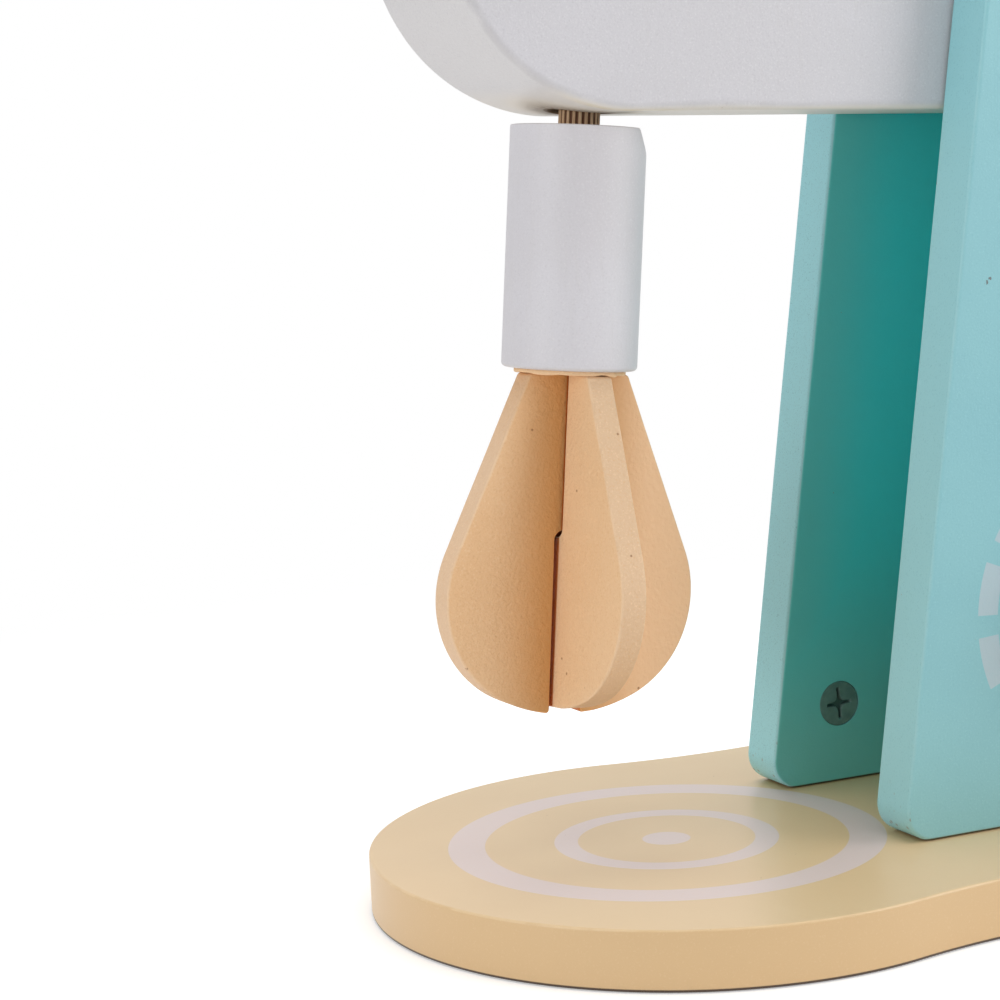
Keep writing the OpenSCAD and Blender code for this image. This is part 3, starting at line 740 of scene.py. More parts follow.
# Wood fibres that show faintly through the lacquer
fibreLook = {"along": (1, 1, 0.07), "scale": 620, "span": (0.5, 0.72), "share": 0.18}


def woodFibre(spot):
    fibre = noise(stretch(spot, fibreLook["along"]), fibreLook["scale"], 3, 0.6)
    return times(fade(fibre, *fibreLook["span"]), fibreLook["share"])


# Cream: the sawn side is darker than the top, painted shade; the rounded top edge is paler, partly rubbed and
# partly a painted highlight
creamLook = {
    **lacquerLook, **tones(colour=(235, 205, 160), shade=(232, 201, 155), edge=(222, 188, 141),
                           fleck=(242, 215, 176), dusk=(224, 190, 142), pale=(238, 210, 168)),
    "rub": 0.45, "rough": 0.34, "roughSwing": 0.048, "pitShare": 0.04, "speck": 0.16, "peel": 240.0,
    "peelHigh": 0.06, "grainHigh": 0.002}
# Teal: the sawn edges are lighter than the faces, painted light on the boards' edges
tealLook = {
    **lacquerLook, **tones(colour=(138, 194, 201), shade=(134, 190, 198), edge=(145, 203, 210),
                           fleck=(150, 204, 210), dusk=(126, 184, 192), pale=(154, 203, 208)),
    "rub": 0.4, "rough": 0.4, "pitShare": 0.08}
# The far cheek's copy has still lighter sawn edges: painted light on its front
farLook = {**tealLook, **tones(edge=(160, 223, 231))}
# White: the rounded edges take a darker tone, painted shade along them
whiteLook = {
    **lacquerLook, **tones(colour=(213, 211, 216), shade=(209, 206, 210), edge=(213, 211, 213),
                           fleck=(221, 219, 222), dusk=(202, 199, 203), pale=(207, 204, 203)),
    "rough": 0.45, "pitShare": 0.02, "peelHigh": 0.7}
# The head's copy of the white is a little darker, painted shade, and darker still along its rounded edges,
# painted shade
headLook = {
    **whiteLook, **tones(colour=(209, 207, 212), shade=(206, 204, 208), edge=(211, 209, 210),
                         fleck=(219, 217, 220), dusk=(197, 194, 199), pale=(193, 191, 194)),
    "speck": 0.75}
# Peach: the sawn edges are darker than the faces, painted shade; the rounded edges are paler, a painted
# highlight
peachLook = {
    **lacquerLook, **tones(colour=(236, 199, 157), shade=(232, 192, 147), edge=(222, 187, 150),
                           fleck=(242, 208, 168), dusk=(222, 176, 128), pale=(250, 218, 182),
                           bare=(150, 100, 60)),
    "rub": 0.3, "rough": 0.55, "pitShare": 0.09, "pitScale": 260.0, "pitSize": 0.12, "peel": 900.0,
    "peelHigh": 3.0}
# The long blade's copy is a little lighter, painted light that balances the painted shade along its corner
longLook = {
    **peachLook, **tones(colour=(239, 200, 156), shade=(236, 194, 147), edge=(228, 193, 157),
                         fleck=(245, 211, 171), dusk=(225, 180, 132))}
# Layer colours: the deep teal inside the column, the cheeks' dark foot line, and the browns along the long
# blade's corner and at the slot's upper end are painted shade; the pale underside of the head and the warmer
# end of the long blade are painted light; the orange rim of the slot is a painted highlight; the base's dark
# sole and the brown in the laps are bare wood and painted shade
coat = tones(
    ringWhite=(231, 212, 207), dialWhite=(174, 196, 204), insideTeal=(74, 224, 225), dustTeal=(144, 155, 135),
    soleBrown=(74, 56, 42), footBrown=(72, 70, 44), pitBrown=(128, 98, 76), knockGrey=(96, 92, 90),
    fibreGrey=(205, 202, 203), underPale=(224, 218, 211), borePale=(246, 234, 214),
    edgeYellow=(204, 188, 150), boreBrown=(140, 96, 48), lipBrown=(150, 112, 58), endPeach=(249, 206, 162),
    gatherBrown=(200, 141, 72), rimPeach=(238, 178, 112), slotBrown=(204, 112, 40), lapBrown=(70, 30, 12))
headKnocks = [(-114.3, -23.6, 221.7, 0.7), (-99.0, -23.6, 204.1, 0.5), (-97.9, -23.8, 203.4, 0.3)]
cheekKnocks = [(14.3, -39.5, 150.8, 0.45), (15.1, -39.5, 151.5, 0.4), (13.7, -39.5, 150.4, 0.25)]
insideLayers = [(insideFaces, coat["insideTeal"]), (insideDust, coat["dustTeal"])]
pitLayer, footLayer = (cornerPits, coat["pitBrown"]), (bareFoot, coat["footBrown"])
lapLayer, fibreLayer = (bareLap, coat["slotBrown"]), (woodFibre, coat["fibreGrey"])
creamLacquer = lacquer("creamLacquer", creamLook, [
    (ringMarks, coat["ringWhite"]), (bareSole, coat["soleBrown"])])
tealLacquer = lacquer("tealLacquer", farLook, [*insideLayers, pitLayer, footLayer])
backLacquer = lacquer("backLacquer", tealLook, [*insideLayers, footLayer])
dialLacquer = lacquer("dialLacquer", tealLook, [
    *insideLayers, pitLayer, footLayer, (dialMarks, coat["dialWhite"]),
    (knocks(cheekKnocks), coat["knockGrey"])])
whiteLacquer = lacquer("whiteLacquer", whiteLook, [fibreLayer])
headLacquer = lacquer("headLacquer", headLook, [
    fibreLayer, (paleUnder, coat["underPale"]), (paleBore, coat["borePale"]),
    (yellowEdge, coat["edgeYellow"]), (boreStain, coat["boreBrown"]), (boreLip, coat["lipBrown"]),
    (knocks(headKnocks), coat["knockGrey"])])
peachLacquer = lacquer("peachLacquer", peachLook, [lapLayer])
longLacquer = lacquer("longLacquer", longLook, [
    (warmEnd, coat["endPeach"]), (gathered, coat["gatherBrown"]), (slotRim, coat["rimPeach"]), lapLayer,
    (slotEnd, coat["lapBrown"])])
# The groove tones below are painted shade in the flutes
plainBeech = beech("plainBeech", colour=(200, 168, 126), shade=(188, 152, 110), dark=(150, 112, 74),
                   groove=(150, 112, 74))
shaftBeech = beech("shaftBeech", colour=(232, 198, 160), shade=(222, 184, 142), dark=(176, 134, 96),
                   groove=(112, 72, 42))
# The dark tones below are painted shade in the cross recesses
castZinc = plated("castZinc", metal=0.6, rough=(0.42, 0.6), colour=(128, 160, 157), shade=(110, 142, 138),
                  dark=(88, 112, 108))
platedSteel = plated("platedSteel", metal=1.0, rough=(0.24, 0.42), colour=(206, 208, 210),
                     shade=(186, 189, 192), dark=(120, 122, 124))
naturalNylon = nylon("naturalNylon", nylonLook)
print("finishes made")

# Solids that stay as they are get their finish
keptSolids = {
    "foot_dowels": plainBeech, "back_dowels": plainBeech, "cam_bolts": platedSteel,
    "shaft_washer": platedSteel, "shaft_screw": platedSteel, "knob_screw": platedSteel,
    "friction_washers": naturalNylon, "knob_washer": naturalNylon}
for nodeName, finish in keptSolids.items():
    frame["nodes"][nodeName].data.materials.clear()
    frame["nodes"][nodeName].data.materials.append(finish)

# Base: two round ends joined by a hollow waist that touches both
baseSize = {"lobe": 81.0, "gap": 104.0, "waist": 168.0, "thick": baseTop, "rim": 0.55, "spacing": 1.0}


def baseOutline():
    half, lobe, waist = baseSize["gap"] / 2, baseSize["lobe"], baseSize["waist"]
    high = math.sqrt((lobe + waist) ** 2 - half ** 2)
    lean = math.degrees(math.asin(half / (lobe + waist)))
    return evenPath(np.concatenate([
        arcPath((half, 0), lobe, -90 - lean, 90 + lean, 200),
        arcPath((0, high), waist, 270 + lean, 270 - lean, 60),
        arcPath((-half, 0), lobe, 90 - lean, 270 + lean, 200),
        arcPath((0, -high), waist, 90 + lean, 90 - lean, 60)]), baseSize["spacing"])


def placeBase(flat, height):
    return np.concatenate([flat, np.asarray(height)[..., None]], axis=-1)


shell = newShell()
addBoard(shell, baseOutline(), baseSize["thick"], baseSize["rim"], placeBase, seed=3)
makePiece("baseBoard", shell, creamLacquer, "stand", "cream_lacquer", "base_board")
print("base board made")

# Cheeks: two leaning edges touch a round top, with small round corners at the foot
cheekSize = {"foot": 130.8, "thick": 14.5, "corner": 7.5, "pivot": pivotZ - baseTop, "inner": 25.0,
             "rim": 0.85, "spacing": 0.8, "sleeve": 4.05, "cams": [(-43.5, 21.4), (26.0, 21.4)],
             "camRadius": 6.1, "camDeep": 10.3, "knob": (0.0, knobAt[2] - baseTop), "sink": 4.3,
             "sinkDeep": 3.4}
topRound = cheekSize["foot"] / 2 - cheekSize["pivot"] * math.tan(math.radians(cheekLean))
topRound *= math.cos(math.radians(cheekLean))


def cheekOutline():
    lean = math.radians(cheekLean)
    corner = cheekSize["corner"]
    cornerX = cheekSize["foot"] / 2 - corner * math.tan(lean) - corner / math.cos(lean)
    return evenPath(np.concatenate([
        arcPath((cornerX, corner), corner, -90, cheekLean, 24),
        arcPath((0, cheekSize["pivot"]), topRound, cheekLean, 180 - cheekLean, 90),
        arcPath((-cornerX, corner), corner, 180 - cheekLean, 270, 24)]), cheekSize["spacing"])


def placeCheek(side):
    return lambda flat, height: np.stack([columnX + flat[..., 0], side * (cheekSize["inner"] + height),
                                          baseTop + flat[..., 1]], axis=-1)


cheekPlan = [("nearCheek", -1, dialLacquer, "near_cheek", 5), ("farCheek", 1, tealLacquer, "far_cheek", 8)]
for name, side, finish, node, seed in cheekPlan:
    bores = [{"at": (0, cheekSize["pivot"]), "radius": cheekSize["sleeve"]}]
    bores += [{"at": at, "radius": cheekSize["camRadius"], "span": (cheekSize["camDeep"], 0)}
              for at in cheekSize["cams"]]
    if side < 0:
        bores += [{"at": cheekSize["knob"], "radius": cheekSize["sink"], "span": (cheekSize["sinkDeep"], 0)}]
    shell = newShell()
    addBoard(shell, cheekOutline(), cheekSize["thick"], cheekSize["rim"], placeCheek(side), seed=seed,
             bores=bores)
    makePiece(name, shell, finish, "stand", "teal_lacquer", node)
print("cheeks made")

# Back board: a leaning strip between the cheeks, cut level at its foot
backSize = {"face": topRound - 15.0, "thick": 12.0, "drop": 11.0, "width": 50.0,
            "rounds": [0.2, 0.2, 1.0, 1.0], "rim": 0.3, "spacing": 0.6}


def backOutline():
    lean = math.radians(cheekLean)
    across, up = np.array([math.cos(lean), math.sin(lean)]), np.array([-math.sin(lean), math.cos(lean)])
    pivot = np.array([columnX, pivotZ])

    def corner(far, upper):
        rise = -backSize["drop"] if upper else (baseTop - pivotZ - far * across[1]) / up[1]
        return pivot + far * across + rise * up

    near, far = backSize["face"], backSize["face"] + backSize["thick"]
    corners = [corner(near, False), corner(far, False), corner(far, True), corner(near, True)]
    return evenPath(filletPath(corners, backSize["rounds"]), backSize["spacing"])


def placeAcross(width):
    return lambda flat, height: np.stack([flat[..., 0], height - width / 2, flat[..., 1]], axis=-1)


shell = newShell()
addBoard(shell, backOutline(), backSize["width"], backSize["rim"], placeAcross(backSize["width"]), seed=11)
makePiece("backBoard", shell, backLacquer, "stand", "teal_lacquer", "back_board")
print("back board made")

# Head: round nose, round upper tail and a flat lower tail, with the mouth of the whisk's bore below
# and a well above. Rows and columns of its edge are left out round both, to be filled by rings.
headSize = {"width": 48.6, "nose": 47.4, "reach": 122.5, "tail": 50.2, "flat": backSize["face"] - 0.3,
            "heel": 2.5, "rim": 2.1, "spacing": 0.7, "mouth": 7.75, "mouthDeep": 6.0, "bore": 5.15,
            "boreDeep": 16.0, "well": 9.0, "wellDeep": 14.0, "lip": 0.35, "lipWear": (0.1, 0.7),
            "patch": 12.0, "patchRows": 25, "patchRings": 9, "sleeve": 4.08}
tailX = (headSize["flat"] - headSize["tail"]) / math.cos(math.radians(cheekLean))
headSlope = math.degrees(math.asin((headSize["tail"] - headSize["nose"]) / (headSize["reach"] + tailX)))
findSteps = 6  # rounds of the search for where a line up the whisk's axis meets the head's outline


def headOutline():
    s, lean = math.radians(headSlope), math.radians(cheekLean)
    noseLow = -np.array([headSize["reach"] + headSize["nose"] * math.sin(s), headSize["nose"] * math.cos(s)])
    edge = np.array([math.cos(lean), math.sin(lean)])
    down = np.array([math.cos(s), -math.sin(s)])
    heel = noseLow + down * (headSize["flat"] - noseLow @ edge) / (down @ edge)
    nose = arcPath((-headSize["reach"], 0), headSize["nose"], 90 + headSlope, 270 - headSlope, 160)
    tail = arcPath((tailX, 0), headSize["tail"], cheekLean, 90 + headSlope, 120)
    corners = np.concatenate([heel[None], tail, nose])
    radii = np.zeros(len(corners))
    radii[0] = headSize["heel"]
    return evenPath(filletPath(corners, radii), headSize["spacing"]) + [columnX, pivotZ]


# A round hole in the head's edge face. In the plane of path length and width, rings run from the block of
# quads left out to the hole, which is the cylinder about the whisk's axis that meets the face there.
def addRoundHole(shell, outline, height, rows, columns, radius, deepRows, facing):
    run = np.concatenate([[0], np.cumsum(np.linalg.norm(np.diff(outline, axis=0), axis=1))])
    rowSpan, columnSpan = np.arange(rows[0], rows[1] + 1), np.arange(columns[0], columns[1] + 1)
    block = np.meshgrid(columnSpan, rowSpan)
    loopColumn, loopRow = rimOf(block[0]), rimOf(block[1])
    outer = np.stack([run[loopColumn], height[loopRow, loopColumn]], axis=-1)
    hub = np.array([(run[columns[0]] + run[columns[1]]) / 2, headSize["width"] / 2])
    angle = np.arctan2(outer[:, 1] - hub[1], facing * (outer[:, 0] - hub[0]))
    part = slice(columns[0] - 2, columns[1] + 3)
    order = slice(None, None, facing)
    pathX, pathZ, pathRun = outline[part][order, 0], outline[part][order, 1], run[part][order]
    around = np.cos(angle)[:, None] * whiskOut + np.sin(angle)[:, None] * whiskSide

    def surfaceAt(reach, drop=0.0):
        ring = whiskFoot + reach * around
        rise = np.zeros(len(angle))
        for _ in range(findSteps):
            spot = ring + rise[:, None] * whiskUp
            rise = rise + (np.interp(spot[:, 0], pathX, pathZ) - spot[:, 2]) / whiskUp[2]
        return ring + (rise + drop)[:, None] * whiskUp

    lip = headSize["lip"]
    start = surfaceAt(radius + lip)
    half = headSize["width"] / 2
    flatStart = np.stack([np.interp(start[:, 0], pathX, pathRun), start[:, 1] + half], axis=-1)
    flat = outer + np.linspace(0, 1, headSize["patchRings"])[:, None, None] * (flatStart - outer)
    patch = np.stack([np.interp(flat[..., 0], run, outline[:, 0]), flat[..., 1] - half,
                      np.interp(flat[..., 0], run, outline[:, 1])], axis=-1)
    patch[-1] = start
    addGrid(shell, patch, cut=1.0)
    bend = quarterTurn(5)
    wall = np.stack([surfaceAt(radius + lip * (1 - math.sin(b)), facing * lip * (1 - math.cos(b)))
                     for b in bend])
    addGrid(shell, wall, np.linspace(*headSize["lipWear"], len(bend))[:, None], 1.0)
    level = ((wall[-1] - whiskFoot) @ whiskUp).mean()
    deep = [whiskFoot + reach * around + (level + facing * depth) * whiskUp for reach, depth in deepRows]
    addLid(shell, addGrid(shell, np.stack([wall[-1], *deep]))[-1])


headPath = headOutline()
headInset = headPath - fitGap * outward(headPath)
sideRows = headSize["width"] / 2 - np.linspace(-headSize["patch"], headSize["patch"], headSize["patchRows"])
upperRows = boardPlan["steps"] + 2  # rows above the side rows: the round, with a support row at each end
patchRows = (upperRows, upperRows + len(sideRows) - 1)
keep = np.ones((upperRows + patchRows[1], len(headPath)), bool)


# Columns of the head's edge round the point of its upper or lower line that is nearest to x
def patchColumns(x, upper):
    otherSide = (headPath[:, 1] > pivotZ) != upper
    middle = int(np.argmin(np.abs(headPath[:, 0] - x) + 1e3 * otherSide))
    reach = int(round(headSize["patch"] / headSize["spacing"]))
    return middle - reach, middle + reach


lowColumns = patchColumns(whiskFoot[0], False)
topColumns = patchColumns(whiskFoot[0] + whiskUp[0] / whiskUp[2] * 2 * headSize["nose"], True)
for span in (lowColumns, topColumns):
    keep[slice(*patchRows), slice(*span)] = False
shell = newShell()
pivotBore = {"at": (columnX, pivotZ), "radius": headSize["sleeve"]}
_, headHeight = addBoard(shell, headPath, headSize["width"], headSize["rim"], placeAcross(headSize["width"]),
                         seed=17, bores=[pivotBore], sideRows=sideRows, keep=keep)
addRoundHole(shell, headInset, headHeight, patchRows, lowColumns, headSize["mouth"],
             [(headSize["mouth"], headSize["mouthDeep"]), (headSize["bore"], headSize["mouthDeep"]),
              (headSize["bore"], headSize["boreDeep"])], 1)
addRoundHole(shell, headInset, headHeight, patchRows, topColumns, headSize["well"],
             [(headSize["well"], headSize["wellDeep"])], -1)
makePiece("headBlock", shell, headLacquer, "head", "white_lacquer", "head_block")
print("head made")


# The whisk's own frame: x and y across its axis, z up it from the head's underside
def placeWhisk(x, y, z, turn=0.0):
    out = math.cos(turn) * whiskOut + math.sin(turn) * whiskSide
    side = -math.sin(turn) * whiskOut + math.cos(turn) * whiskSide
    x, y, z = np.broadcast_arrays(x, y, z)
    return whiskFoot + x[..., None] * out + y[..., None] * side + z[..., None] * whiskUp


def placeRound(radius, angle, level, turn=0.0):
    return placeWhisk(radius * np.cos(angle), radius * np.sin(angle), level, turn)


# Plug of the well: its face follows the head's top line and is eased all round
plugSize = {"radius": 8.95, "long": 12.0, "ease": 0.3, "sunk": 0.02, "count": 41, "beyond": 20}


def headTopOver(x):
    part = headInset[topColumns[0] - plugSize["beyond"]:topColumns[1] + plugSize["beyond"] + 1]
    return np.interp(x, part[::-1, 0], part[::-1, 1])


def plugFace(x, y):
    spot = placeWhisk(x, y, 0 * x)
    rise = 0 * x
    for _ in range(findSteps):
        short = headTopOver(spot[..., 0] + rise * whiskUp[0]) - spot[..., 2] - rise * whiskUp[2]
        rise = rise + short / whiskUp[2]
    edge = np.clip((np.hypot(x, y) - plugSize["radius"] + plugSize["ease"]) / plugSize["ease"], 0, 1)
    return rise - plugSize["sunk"] - plugSize["ease"] * (1 - np.sqrt(1 - 0.999 * edge * edge))


shell = newShell()
plugLow = float(plugFace(np.zeros(1), np.zeros(1))[0]) - plugSize["long"]
addTurned(shell, plugSize["count"], plugSize["radius"], plugFace, [(plugSize["radius"], plugLow)], placeWhisk)
makePiece("wellPlug", shell, whiteLacquer, "head", "white_lacquer", "well_plug")
print("plug made")

# Shaft: a dowel with straight flutes, r = R - sqrt(f f - (R a) (R a)) within reach of a flute of radius f
shaftSize = {"radius": 5.0, "long": 60.0, "low": -21.0, "flutes": 20, "flute": 0.45, "ease": 0.8, "each": 14,
             "rows": (4, 56, 27)}
shaftAngle = roundAngles(shaftSize["flutes"] * shaftSize["each"])
flutePitch = 2 * np.pi / shaftSize["flutes"]
offset = (np.mod(shaftAngle + flutePitch / 2, flutePitch) - flutePitch / 2) * shaftSize["radius"]
fluteDepth = np.sqrt(np.maximum(shaftSize["flute"] ** 2 - offset ** 2, 0))
ease, long = shaftSize["ease"], shaftSize["long"]
levels = shaftSize["low"] + np.concatenate([[0, ease], np.linspace(*shaftSize["rows"]), [long - ease, long]])
taper = np.concatenate([[ease / 2], np.zeros(len(levels) - 2), [ease / 2]])
shaftRadius = np.minimum(shaftSize["radius"] - fluteDepth, shaftSize["radius"] - taper[:, None])
shell = newShell()
shaftGrid = addGrid(shell, placeRound(shaftRadius, shaftAngle, levels[:, None], whiskTurn),
                    fluteDepth[None] / shaftSize["flute"])
addLid(shell, shaftGrid[0])
addLid(shell, shaftGrid[-1])
makePiece("whiskShaft", shell, shaftBeech, "whisk", "stained_beech", "whisk_shaft")
print("shaft made")

# Chuck: a turned cylinder, r = R, cut by a flat bevel at one side of its top where r = d / cos(a - a0).
# A soft least value of the two keeps the edge between them rounded.
chuckSize = {"radius": 16.5, "top": -3.0, "low": -61.0, "bevelIn": 2.2, "bevelHigh": 6.0, "bevelDir": -24.0,
             "bevelReach": 0.3, "foot": 1.1, "crown": 0.35, "socket": 10.2, "socketDeep": 14.3, "hole": 5.05,
             "holeDeep": 18.3, "count": 288, "soft": 0.12, "sideRows": 24, "bevelRows": 30, "lidRows": 5}


def chuckRadius(angle, level):
    below = (chuckSize["top"] - level) / chuckSize["bevelHigh"]
    flat = chuckSize["radius"] - chuckSize["bevelIn"] * (1 - below)
    facing = np.cos(angle - math.radians(chuckSize["bevelDir"]))
    reach = chuckSize["bevelReach"]
    plane = np.where(facing > reach, flat / np.maximum(facing, reach), 99.0)
    gap = plane - chuckSize["radius"]
    return chuckSize["radius"] + 0.5 * (gap - np.sqrt(gap * gap + chuckSize["soft"] ** 2)) * (gap < 20)


# Rows from the socket's end down its wall, round the foot, up the side, over the crown and into the hole.
# They lie close together along the bevel, and further apart below it.
angle = roundAngles(chuckSize["count"])
bend = quarterTurn(7)
low, top, foot, crown = (chuckSize[key] for key in ("low", "top", "foot", "crown"))
socket, hole, lidRows = chuckSize["socket"], chuckSize["hole"], chuckSize["lidRows"]
socketEnd, holeEnd = low + chuckSize["socketDeep"], top - chuckSize["holeDeep"]
sideLevels = np.concatenate([low + foot * (1 - np.sin(bend[::-1])), [low + 2],
                             np.linspace(low + 4, top - 8, chuckSize["sideRows"]),
                             np.linspace(top - 7.6, top - crown - 0.1, chuckSize["bevelRows"])])
plainRows = np.zeros(len(sideLevels) - len(bend))
sideInset = np.concatenate([foot * (1 - np.cos(bend[::-1])), plainRows])[:, None]
sideRadius = chuckRadius(angle, sideLevels[:, None]) - sideInset
crownRadius = chuckRadius(angle, np.full((len(bend), 1), top)) - crown * (1 - np.cos(bend))[:, None]
lidRadius = hole + np.linspace(1, 0, lidRows + 1)[1:, None] * (crownRadius[-1] - hole)
chuckRows = np.concatenate([np.array([[0.0], [socket], [socket]]) + 0 * angle, sideRadius, crownRadius,
                            lidRadius, np.array([[hole], [0.0]]) + 0 * angle])
chuckLevels = np.concatenate([[socketEnd, socketEnd, low], sideLevels, top - crown * (1 - np.sin(bend)),
                              np.full(lidRows, top), [holeEnd, holeEnd]])
chuckWear = np.concatenate([np.zeros(3), np.sin(2 * bend), plainRows, np.sin(2 * bend),
                            np.zeros(lidRows + 2)])
shell = newShell()
addGrid(shell, placeRound(chuckRows, angle, chuckLevels[:, None]), chuckWear[:, None])
makePiece("whiskChuck", shell, whiteLacquer, "whisk", "white_lacquer", "whisk_chuck")
print("chuck made")

# Blades: straight flanks touch round bellies and a rounder foot. One is slotted from below, the other from
# above. Both stand a little beside the chuck's axis, the long one leans, and glue parts them from the chuck.
bladeSize = {"thick": 6.7, "neck": 27.2, "belly": 68.4, "bellyRound": 27.4, "bellyDrop": 55.5, "high": 84.4,
             "crossRise": 1.6, "lean": 0.0084, "lap": 40.0, "lapRoom": 0.653, "slot": 8.3, "slotBeside": -1.2,
             "slotRound": 2.2, "slotClear": 2.5, "bareReach": 0.35, "bareOver": 0.4, "tenon": 16.0,
             "tenonLong": 14.0, "tenonFoot": 0.3, "tenonEnd": 0.8, "shoulder": 1.2, "footRound": 0.9,
             "rim": 0.5, "steps": 5, "support": 0.25, "spacing": 0.35}
collarSize = {"radius": 13.5, "thick": 1.15, "ease": 0.35, "wave": 0.3, "sag": 0.16, "count": 180,
              "beside": 0.15, "below": 0.02}


# The right flank's arc, and the foot's arc that touches both flanks: its centre, radius and first angle
def bladeFlank(rise):
    bellyX = bladeSize["belly"] / 2 - bladeSize["bellyRound"]
    drop, high, r = bladeSize["bellyDrop"] - rise, bladeSize["high"] - rise, bladeSize["bellyRound"]
    footY = (bellyX ** 2 + drop ** 2 - (high - r) ** 2) / (2 * (drop - high + r))
    neckX = bladeSize["neck"] / 2 - bellyX
    flank = math.degrees(math.asin(r / math.hypot(neckX, drop)) - math.atan2(neckX, drop))
    turn = math.degrees(math.atan2(footY - drop, bellyX))
    return arcPath((bellyX, -drop), r, flank, turn, 60), (0, -footY), high - footY, turn


# Returns the outline, and 1 for those of its points that lie in the slot
def bladeOutline(fromBelow):
    belly, footCentre, footR, turn = bladeFlank(0.0 if fromBelow else bladeSize["crossRise"])
    w, t, n = (bladeSize[key] / 2 for key in ("slot", "tenon", "neck"))
    neckY, long = -collarSize["thick"], bladeSize["tenonLong"]
    soft, footRound = bladeSize["slotRound"], bladeSize["footRound"]
    tenonFoot, tenonEnd = bladeSize["tenonFoot"], bladeSize["tenonEnd"]
    stop = -90 + math.degrees(math.asin((w + bladeSize["slotClear"]) / footR))
    if fromBelow:
        beside, lap = bladeSize["slotBeside"], -bladeSize["lap"] + bladeSize["lapRoom"]
        slotFoot = footCentre[1] - math.sqrt(footR ** 2 - w ** 2)
        foot = (np.array([[-w, slotFoot], [-w, lap], [w, lap], [w, slotFoot]]) + [beside, 0],
                [footRound, soft, soft, footRound])
        head = ([[t, neckY], [t, long], [-t, long], [-t, neckY]], [tenonFoot, tenonEnd, tenonEnd, tenonFoot])
    else:
        beside, lap = 0.0, -bladeSize["lap"] - bladeSize["lapRoom"]
        foot = ([[0, footCentre[1] - footR]], [0])
        head = ([[t, neckY], [t, long], [w, long], [w, lap], [-w, lap], [-w, long], [-t, long], [-t, neckY]],
                [tenonFoot, tenonEnd, tenonEnd, soft, soft, tenonEnd, tenonEnd, tenonFoot])
    runs = [([[-n, neckY]], bladeSize["shoulder"]), (belly * [-1, 1], 0),
            (arcPath(footCentre, footR, 180 - turn, 180 - stop, 40)[1:], 0), foot,
            (arcPath(footCentre, footR, stop, turn, 40)[:-1], 0), (belly[::-1], 0),
            ([[n, neckY]], bladeSize["shoulder"]), head]
    corners = np.concatenate([np.asarray(points, float) for points, _ in runs])
    radii = np.concatenate([np.broadcast_to(np.asarray(r, float), len(points)) for points, r in runs])
    path = evenPath(filletPath(corners, radii), bladeSize["spacing"])
    beyond = (lap - path[:, 1] if fromBelow else path[:, 1] - lap) + bladeSize["bareOver"]
    inSlot = (np.abs(path[:, 0] - beside) < w + bladeSize["bareReach"]) & (beyond > 0)
    return path, inSlot.astype(float)


def placeBlade(turn, beside, lean):
    def place(flat, height):
        aside = (beside - lean * flat[..., 1:]) * bladeAxes[0]
        level = chuckSize["low"] + flat[..., 1]
        return aside + placeWhisk(flat[..., 0], height - bladeSize["thick"] / 2, level, turn)
    return place


bladePlan = [
    ("longBlade", longLacquer, True, (whiskTurn, bladeBeside[0], bladeSize["lean"]), "long_blade", 23),
    ("crossBlade", peachLacquer, False, (whiskTurn + math.pi / 2, bladeBeside[1], 0.0), "cross_blade", 29)]
for name, finish, fromBelow, place, node, seed in bladePlan:
    shell = newShell()
    path, bare = bladeOutline(fromBelow)
    addBoard(shell, path, bladeSize["thick"], bladeSize["rim"], placeBlade(*place), seed=seed,
             steps=bladeSize["steps"], support=bladeSize["support"], bare=bare)
    makePiece(name, shell, finish, "whisk", "peach_lacquer", node)

# Collar: a flat bead with soft edges, whose radius and thickness swing a little round the axis
collarReach = collarSize["radius"] + collarSize["wave"] * handSanded(collarSize["count"], 31)
thick = collarSize["thick"] * (1 + collarSize["sag"] * handSanded(collarSize["count"], 37))
ease = collarSize["ease"]
collarInset = np.array([99.0, ease, 0.3 * ease, 0.0, 0.0, 0.3 * ease, ease, 99.0])[:, None]
collarDrop = np.array([0.0, 0.0, 0.3, 1.0, -1.0, -0.3, 0.0, 0.0])[:, None] * ease
collarDrop = collarDrop + np.array([0, 0, 0, 0, 1, 1, 1, 1])[:, None] * thick
collarLevel = chuckSize["low"] - collarDrop - collarSize["below"]
collarRadius = np.maximum(collarReach - collarInset, 0.0)
collarPoints = placeRound(collarRadius, roundAngles(collarSize["count"]), collarLevel)
shell = newShell()
addGrid(shell, collarPoints + collarSize["beside"] * bladeAxes[0])
makePiece("whiskCollar", shell, peachLacquer, "whisk", "peach_lacquer")
print("blades made")


# Turned pieces on the cheeks: x and y lie in the cheek's face, and z stands out of it towards the facing side
def placeTurned(middle, facing):
    def place(x, y, z):
        x, y, z = np.broadcast_arrays(x, y, z)
        return np.stack([middle[0] + x, middle[1] + facing * z, middle[2] + y], axis=-1)
    return place


# Knob: a turned face with a pointer groove, and a wall that narrows towards the face
knobSize = {"back": 1.2, "radius": 23.0, "thick": 15.0, "draft": 1.0, "soft": 2.2, "groove": 3.0,
            "grooveDeep": 1.2, "grooveFrom": 7.5, "grooveSoft": 0.5, "dome": 0.5, "fall": 0.35, "count": 121,
            "backRows": [(0.1, 1.4), (0.0, 1.0), (0.3, 0.3), (1.0, 0.0)], "backWear": [0, 0.6, 0.6, 0]}


def knobFace(x, y):
    soft = knobSize["grooveSoft"]
    inside = np.clip((knobSize["groove"] / 2 - np.abs(x)) / soft + 0.5, 0, 1)
    inside = inside * np.clip((y - knobSize["grooveFrom"]) / soft + 0.5, 0, 1)
    groove = knobSize["grooveDeep"] * inside * inside * (3 - 2 * inside)
    dome = knobSize["dome"] * (np.hypot(x, y) / knobSize["radius"]) ** 4
    return knobSize["back"] + knobSize["thick"] - dome - groove


